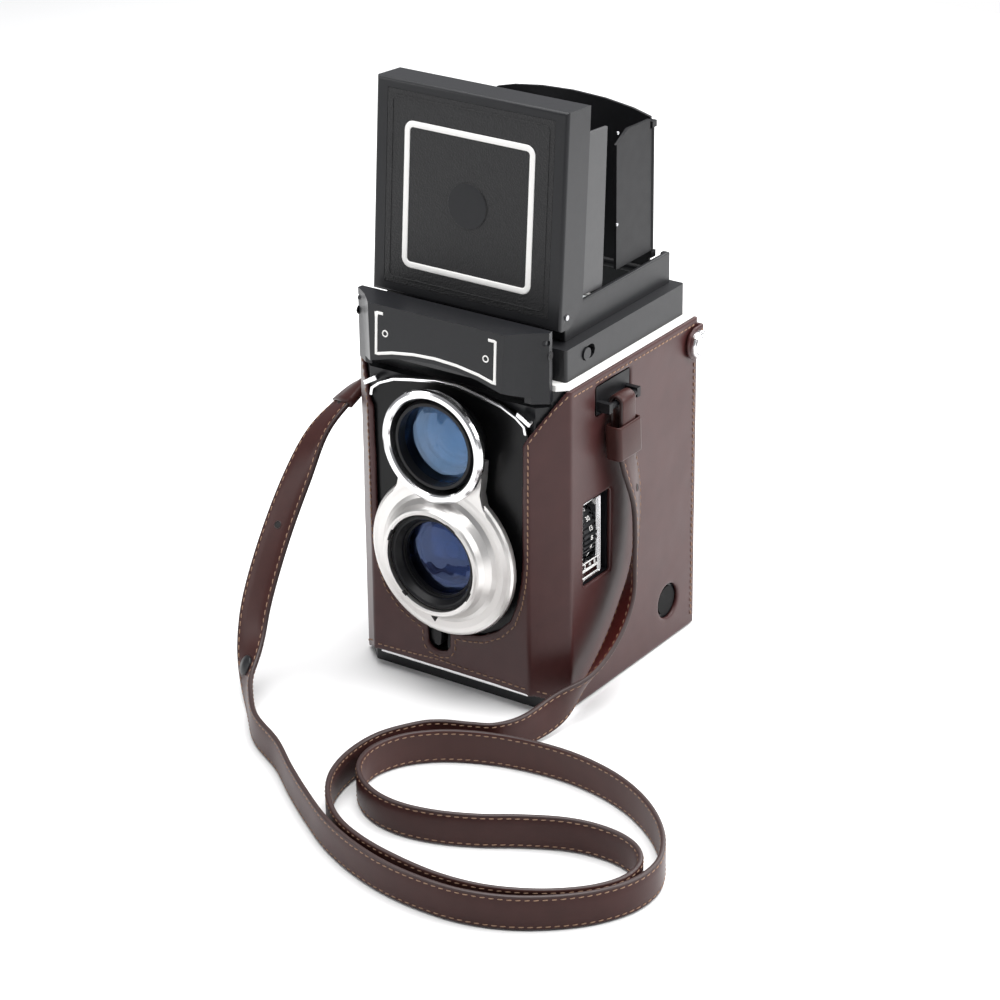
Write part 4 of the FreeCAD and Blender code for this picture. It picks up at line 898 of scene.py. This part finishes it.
def seen_on_lid(x, z):
    """(u, v) where the line of sight through a point of the corners' plane meets the lid."""
    sight = mm(x, LINE_PLANE_Y, z) - VIEW_FROM
    t = (lid_point - VIEW_FROM).dot(lid_normal) / sight.dot(lid_normal)
    offset = VIEW_FROM + sight * t - badge
    return offset.dot(RIGHT) * 1000, offset.dot(lid_up) * 1000


def lid_white_line():
    """A rectangle centred on the badge, from the averages of the seen corners."""
    corners = [seen_on_lid(x, z) for x, z in LINE_CORNERS]
    (u_a, v_a), (u_b, v_b), (u_c, v_c), (u_d, v_d) = corners
    half = ((u_b + u_c) / 2 - (u_a + u_d) / 2) / 2 - LINE_WIDTH / 2
    top = (v_a + v_b) / 2 - LINE_WIDTH / 2
    bottom = (v_c + v_d) / 2 + LINE_WIDTH / 2
    pile = Pile()
    path = [on_lid(u, v) for u, v in rounded(-half, half, bottom, top, radius=2.6, steps=8)]
    pile.band(path, lid_normal, LINE_WIDTH, height=0.28, closed=True)
    pile.make("lid_white_line", ["white_line"], "hood_lid")


def lid_emboss():
    """A ring round the badge and an embossed border near the panel's edge."""
    pile = Pile()
    pile.ring(on_lid(0, 0, 0.02), lid_normal, radius=8.3, tube=0.22, n=72, k=8)
    half = (panel_high.x - panel_low.x) * 500 - EMBOSS_INSET
    bottom = (panel_low - badge).dot(lid_up) * 1000 + EMBOSS_INSET
    top = (panel_high - badge).dot(lid_up) * 1000 - EMBOSS_INSET
    outline = rounded(-half, half, bottom, top, radius=2.2, steps=8)
    pile.band([on_lid(u, v, 0.02) for u, v in outline], lid_normal, width=0.5, height=0.16,
              closed=True)
    pile.make("lid_emboss", ["black_leatherette"], "hood_lid")


lid_white_line()
lid_emboss()

# ---------------------------------------------------------------- name plate
PLATE_NORMAL = Vector((0, -1, 0.053)).normalized()
# the white line, open at the top, as (x, z)
PLATE_LINE = mirrored([(-23.0, 148.9), (-26.0, 148.9), (-26.0, 133.1), (-19.0, 134.9),
                       (-9.5, 136.3), (0, 136.8)])


def plate_y(z):
    """The plate's front: upright up to z = 130, then leaning back."""
    return -58.6 + max(z - 130.0, 0) * 1.2 / 22.5


def plate_white_line():
    pile = Pile()
    path = []
    for a, b in zip(PLATE_LINE, PLATE_LINE[1:]):
        for k in range(8):
            x, z = [p + (q - p) * k / 8 for p, q in zip(a, b)]
            path.append(mm(x, plate_y(z), z))
    x, z = PLATE_LINE[-1]
    path.append(mm(x, plate_y(z), z))
    pile.band(path, PLATE_NORMAL, width=1.1, height=0.22)
    pile.make("plate_white_line", ["white_line"], "nameplate_cover")


def plate_studs():
    """Two small rings near the ends of the plate."""
    pile = Pile()
    z = 141.6
    for s in SIDES:
        pile.ring(mm(s * 22.0, plate_y(z) - 0.02, z), PLATE_NORMAL, radius=1.1, tube=0.26,
                  n=28, k=8)
    pile.make("plate_studs", ["white_line"], "nameplate_cover")


def plate_screws():
    """A screw with a six-sided socket on each side of the plate's cover."""
    pile = Pile()
    for s in SIDES:
        axis = Vector((s, 0.1, 0))
        pile.disc(mm(s * 41.62, -46.4, 143.0), axis, radius=1.9, thick=0.35)
        # the socket is a flat near-black hexagon: painted shade for its recess
        pile.disc(mm(s * 41.98, -46.4, 143.0), axis, radius=0.8, thick=0.06, n=6, mat=1)
    pile.make("plate_screws", ["dark_metal", "dark_hole"], "nameplate_cover")


plate_white_line()
plate_studs()
plate_screws()

# ---------------------------------------------------------------- lenses
VIEWING_Z, TAKING_Z = 103.2, 57.5


def lens_elements():
    """Glass surfaces and dark baffle rings inside both lenses, from front to back."""
    outer, inner, baffle, amber = range(4)
    pile = Pile()
    for z, radius in ((VIEWING_Z, 14.9), (TAKING_Z, 13.9)):
        pile.lens_surface(-52.6, z, radius - 2.2, bulge=1.4, mat=outer)
        pile.ring(mm(0, -53.2, z), FRONT, radius - 1.6, tube=0.7, n=64, mat=baffle)
        pile.lens_surface(-47.0, z, radius - 4.4, bulge=1.9, mat=inner)
        pile.ring(mm(0, -48.6, z), FRONT, radius - 3.6, tube=0.9, n=64, mat=baffle)
        pile.ring(mm(0, -45.6, z), FRONT, radius - 5.6, tube=0.8, n=64, mat=baffle)
        pile.lens_surface(-42.6, z, radius - 7.0, bulge=-1.4, mat=amber)
        pile.disc(mm(0, -40.4, z), FRONT, radius - 1.5, thick=0.3, n=48, mat=baffle)
    pile.make("lens_elements", ["inner_glass", "inner_glass", "dark_metal", "amber_glass"],
              "lens_carriage")


def lens_rim_rings():
    pile = Pile()
    for y, z, radius in ((-60.4, VIEWING_Z, 16.3), (-58.9, TAKING_Z, 15.1),
                         (-62.3, TAKING_Z, 18.0)):
        pile.ring(mm(0, y, z), FRONT, radius, tube=0.2, n=72, k=8)
    pile.make("lens_rim_rings", ["dark_metal"], "lens_carriage")


def lens_marks():
    """Bayonet notches on the lower lens's rim, and the index triangle below it."""
    pile = Pile()
    # the notches are near-black blocks on the rim: painted shade for the gaps
    for degrees, half in ((158, 2.6), (232, 1.1), (332, 2.2), (60, 2.2)):
        a = math.radians(degrees)
        outward = Vector((math.cos(a), 0, math.sin(a)))
        around = Vector((-math.sin(a), 0, math.cos(a)))
        pile.block(mm(0, -63.5, TAKING_Z) + outward * (19.5 * MM),
                   axes=(outward, FRONT, around), halves=(0.5, 0.52, half))
    triangle = [mm(-1.35, -61.25, 35.0), mm(1.35, -61.25, 35.0), mm(0, -60.9, 32.9)]
    pile.add(triangle + [p + FRONT * (0.6 * MM) for p in triangle],
             [(0, 1, 2), (3, 5, 4), (0, 3, 4, 1), (1, 4, 5, 2), (2, 5, 3, 0)])
    pile.make("lens_marks", ["dark_hole"], "lens_carriage")


lens_elements()
lens_rim_rings()
lens_marks()

# ---------------------------------------------------------------- exposure wheel and its window
WHEEL_CENTRE = mm(31.2, -25.0, 64.5)
DIGIT_RADIUS = 14.36


def digit(name, text, size, place, up, body):
    """White raised text that reads from the right side, towards the rear."""
    curve = bpy.data.curves.new(name, "FONT")
    curve.body = text
    curve.size = size * MM
    curve.align_x = "CENTER"
    curve.align_y = "CENTER"
    curve.extrude = 0.04 * MM
    holder = bpy.data.objects.new(name + "_t", curve)
    scene.collection.objects.link(holder)
    depsgraph = bpy.context.evaluated_depsgraph_get()
    mesh = bpy.data.meshes.new_from_object(holder.evaluated_get(depsgraph))
    bpy.data.objects.remove(holder)
    mesh.materials.clear()
    mesh.materials.append(M["white_line"])
    turn = Matrix((REAR, up, REAR.cross(up))).transposed().to_4x4()
    turn.translation = place
    mesh.transform(turn)
    ob = bpy.data.objects.new(name, mesh)
    scene.collection.objects.link(ob)
    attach(ob, body)


def wheel_digits():
    for i, text in enumerate(("1", "2", "4", "8", "15", "30", "60")):
        a = math.radians((i - 3) * 15)
        out = Vector((math.cos(a), 0, math.sin(a)))
        up = Vector((-math.sin(a), 0, math.cos(a)))
        digit(f"wheel_digit_{i}", text, 2.6, WHEEL_CENTRE + out * (DIGIT_RADIUS * MM), up,
              "exposure_wheel")


def window_boxes():
    """Two pale boxes on the window's frame."""
    pile = Pile()
    front, rear, x = -30.9, -19.1, 44.62
    for low, high in ((49.2, 51.7), (52.3, 54.9)):
        corners = [mm(x, front, low), mm(x, rear, low), mm(x, rear, high), mm(x, front, high)]
        pile.band(corners, RIGHT, width=0.35, height=0.12, closed=True)
    pile.make("window_boxes", ["white_line"], "camera_body")


def window_digits():
    for i, text in enumerate(("2", "4", "8")):
        digit(f"window_digit_{i}", text, 2.2, mm(44.68, -28.2 + i * 3.2, 53.6),
              Vector((0, 0, 1)), "camera_body")


def window_bezel():
    """The chrome rim round the wheel's window, on the right side."""
    pile = Pile()
    path = [mm(44.75, y, z) for y, z in rounded(-31.3, -18.7, 48.6, 79.6, radius=0.8, steps=4)]
    pile.band(path, RIGHT, width=0.7, height=0.5, closed=True)
    pile.make("window_bezel", ["chrome"], "camera_body")


def hood_pin_heads():
    pile = Pile()
    for s in SIDES:
        for y, z in ((4.3, 210.6), (4.0, 176.0)):
            pile.disc(mm(s * 37.3, y, z), RIGHT * s, radius=0.6, thick=0.3, n=16)
    pile.make("hood_pin_heads", ["steel"], "hood_lid")


wheel_digits()
window_boxes()
window_digits()
window_bezel()
hood_pin_heads()


# ---------------------------------------------------------------- setting, in metres and watts
def add_floor():
    bpy.ops.mesh.primitive_plane_add(size=1.7, location=(0, 0, 0))
    floor = bpy.context.object
    floor.name = "floor"
    floor.data.materials.append(M["floor"])


def set_world():
    """A dim, slightly blue light all round, which the camera sees as plain white."""
    world = scene.world or bpy.data.worlds.new("world")
    scene.world = world
    world.use_nodes = True
    tree = world.node_tree
    light = tree.nodes.get("Background") or tree.nodes.new("ShaderNodeBackground")
    light.inputs["Color"].default_value = (0.96, 0.97, 1.0, 1)
    light.inputs["Strength"].default_value = 0.3
    seen = add_node(tree, "ShaderNodeBackground", {"Color": (1, 1, 1, 1), "Strength": 1.0})
    path = add_node(tree, "ShaderNodeLightPath")
    mix = add_node(tree, "ShaderNodeMixShader")
    output = tree.nodes.get("World Output") or tree.nodes.new("ShaderNodeOutputWorld")
    tree.links.new(path.outputs["Is Camera Ray"], mix.inputs[0])
    tree.links.new(light.outputs[0], mix.inputs[1])
    tree.links.new(seen.outputs[0], mix.inputs[2])
    tree.links.new(mix.outputs[0], output.inputs["Surface"])


def area_light(name, place, target, size, power, size_y=None):
    lamp = bpy.data.lights.new(name, "AREA")
    lamp.energy = power
    lamp.color = (1, 1, 1)
    lamp.size = size
    if size_y:
        lamp.shape = "RECTANGLE"
        lamp.size_y = size_y
    ob = bpy.data.objects.new(name, lamp)
    scene.collection.objects.link(ob)
    ob.location = place
    ob.rotation_mode = "QUATERNION"
    ob.rotation_quaternion = (Vector(target) - Vector(place)).to_track_quat("-Z", "Y")


def add_camera():
    data = bpy.data.cameras.new("main")
    data.sensor_width = SENSOR_WIDTH
    data.lens = FOCAL_LENGTH
    data.clip_start, data.clip_end = 0.01, 20.0
    camera = bpy.data.objects.new("main", data)
    scene.collection.objects.link(camera)
    turn = Matrix((VIEW_RIGHT, VIEW_UP, -VIEW_FORWARD)).transposed()
    camera.matrix_world = Matrix.Translation(VIEW_FROM) @ turn.to_4x4()
    scene.camera = camera


add_floor()
set_world()
area_light("soft_right", place=(0.85, 0.35, 0.6), target=(0, 0, 0.08), size=0.7, power=10.0,
           size_y=0.6)
area_light("soft_top", place=(0.0, 0.0, 1.1), target=(0, 0, 0.1), size=1.0, power=23.0)
area_light("soft_left", place=(-0.75, -0.75, 0.45), target=(0, -0.02, 0.08), size=0.35, power=3.0,
           size_y=0.6)
area_light("back_rim", place=(0.1, 0.8, 0.5), target=(0, 0, 0.1), size=0.6, power=5.0)
add_camera()
scene.view_settings.view_transform = "Standard"
scene.view_settings.look = "None"
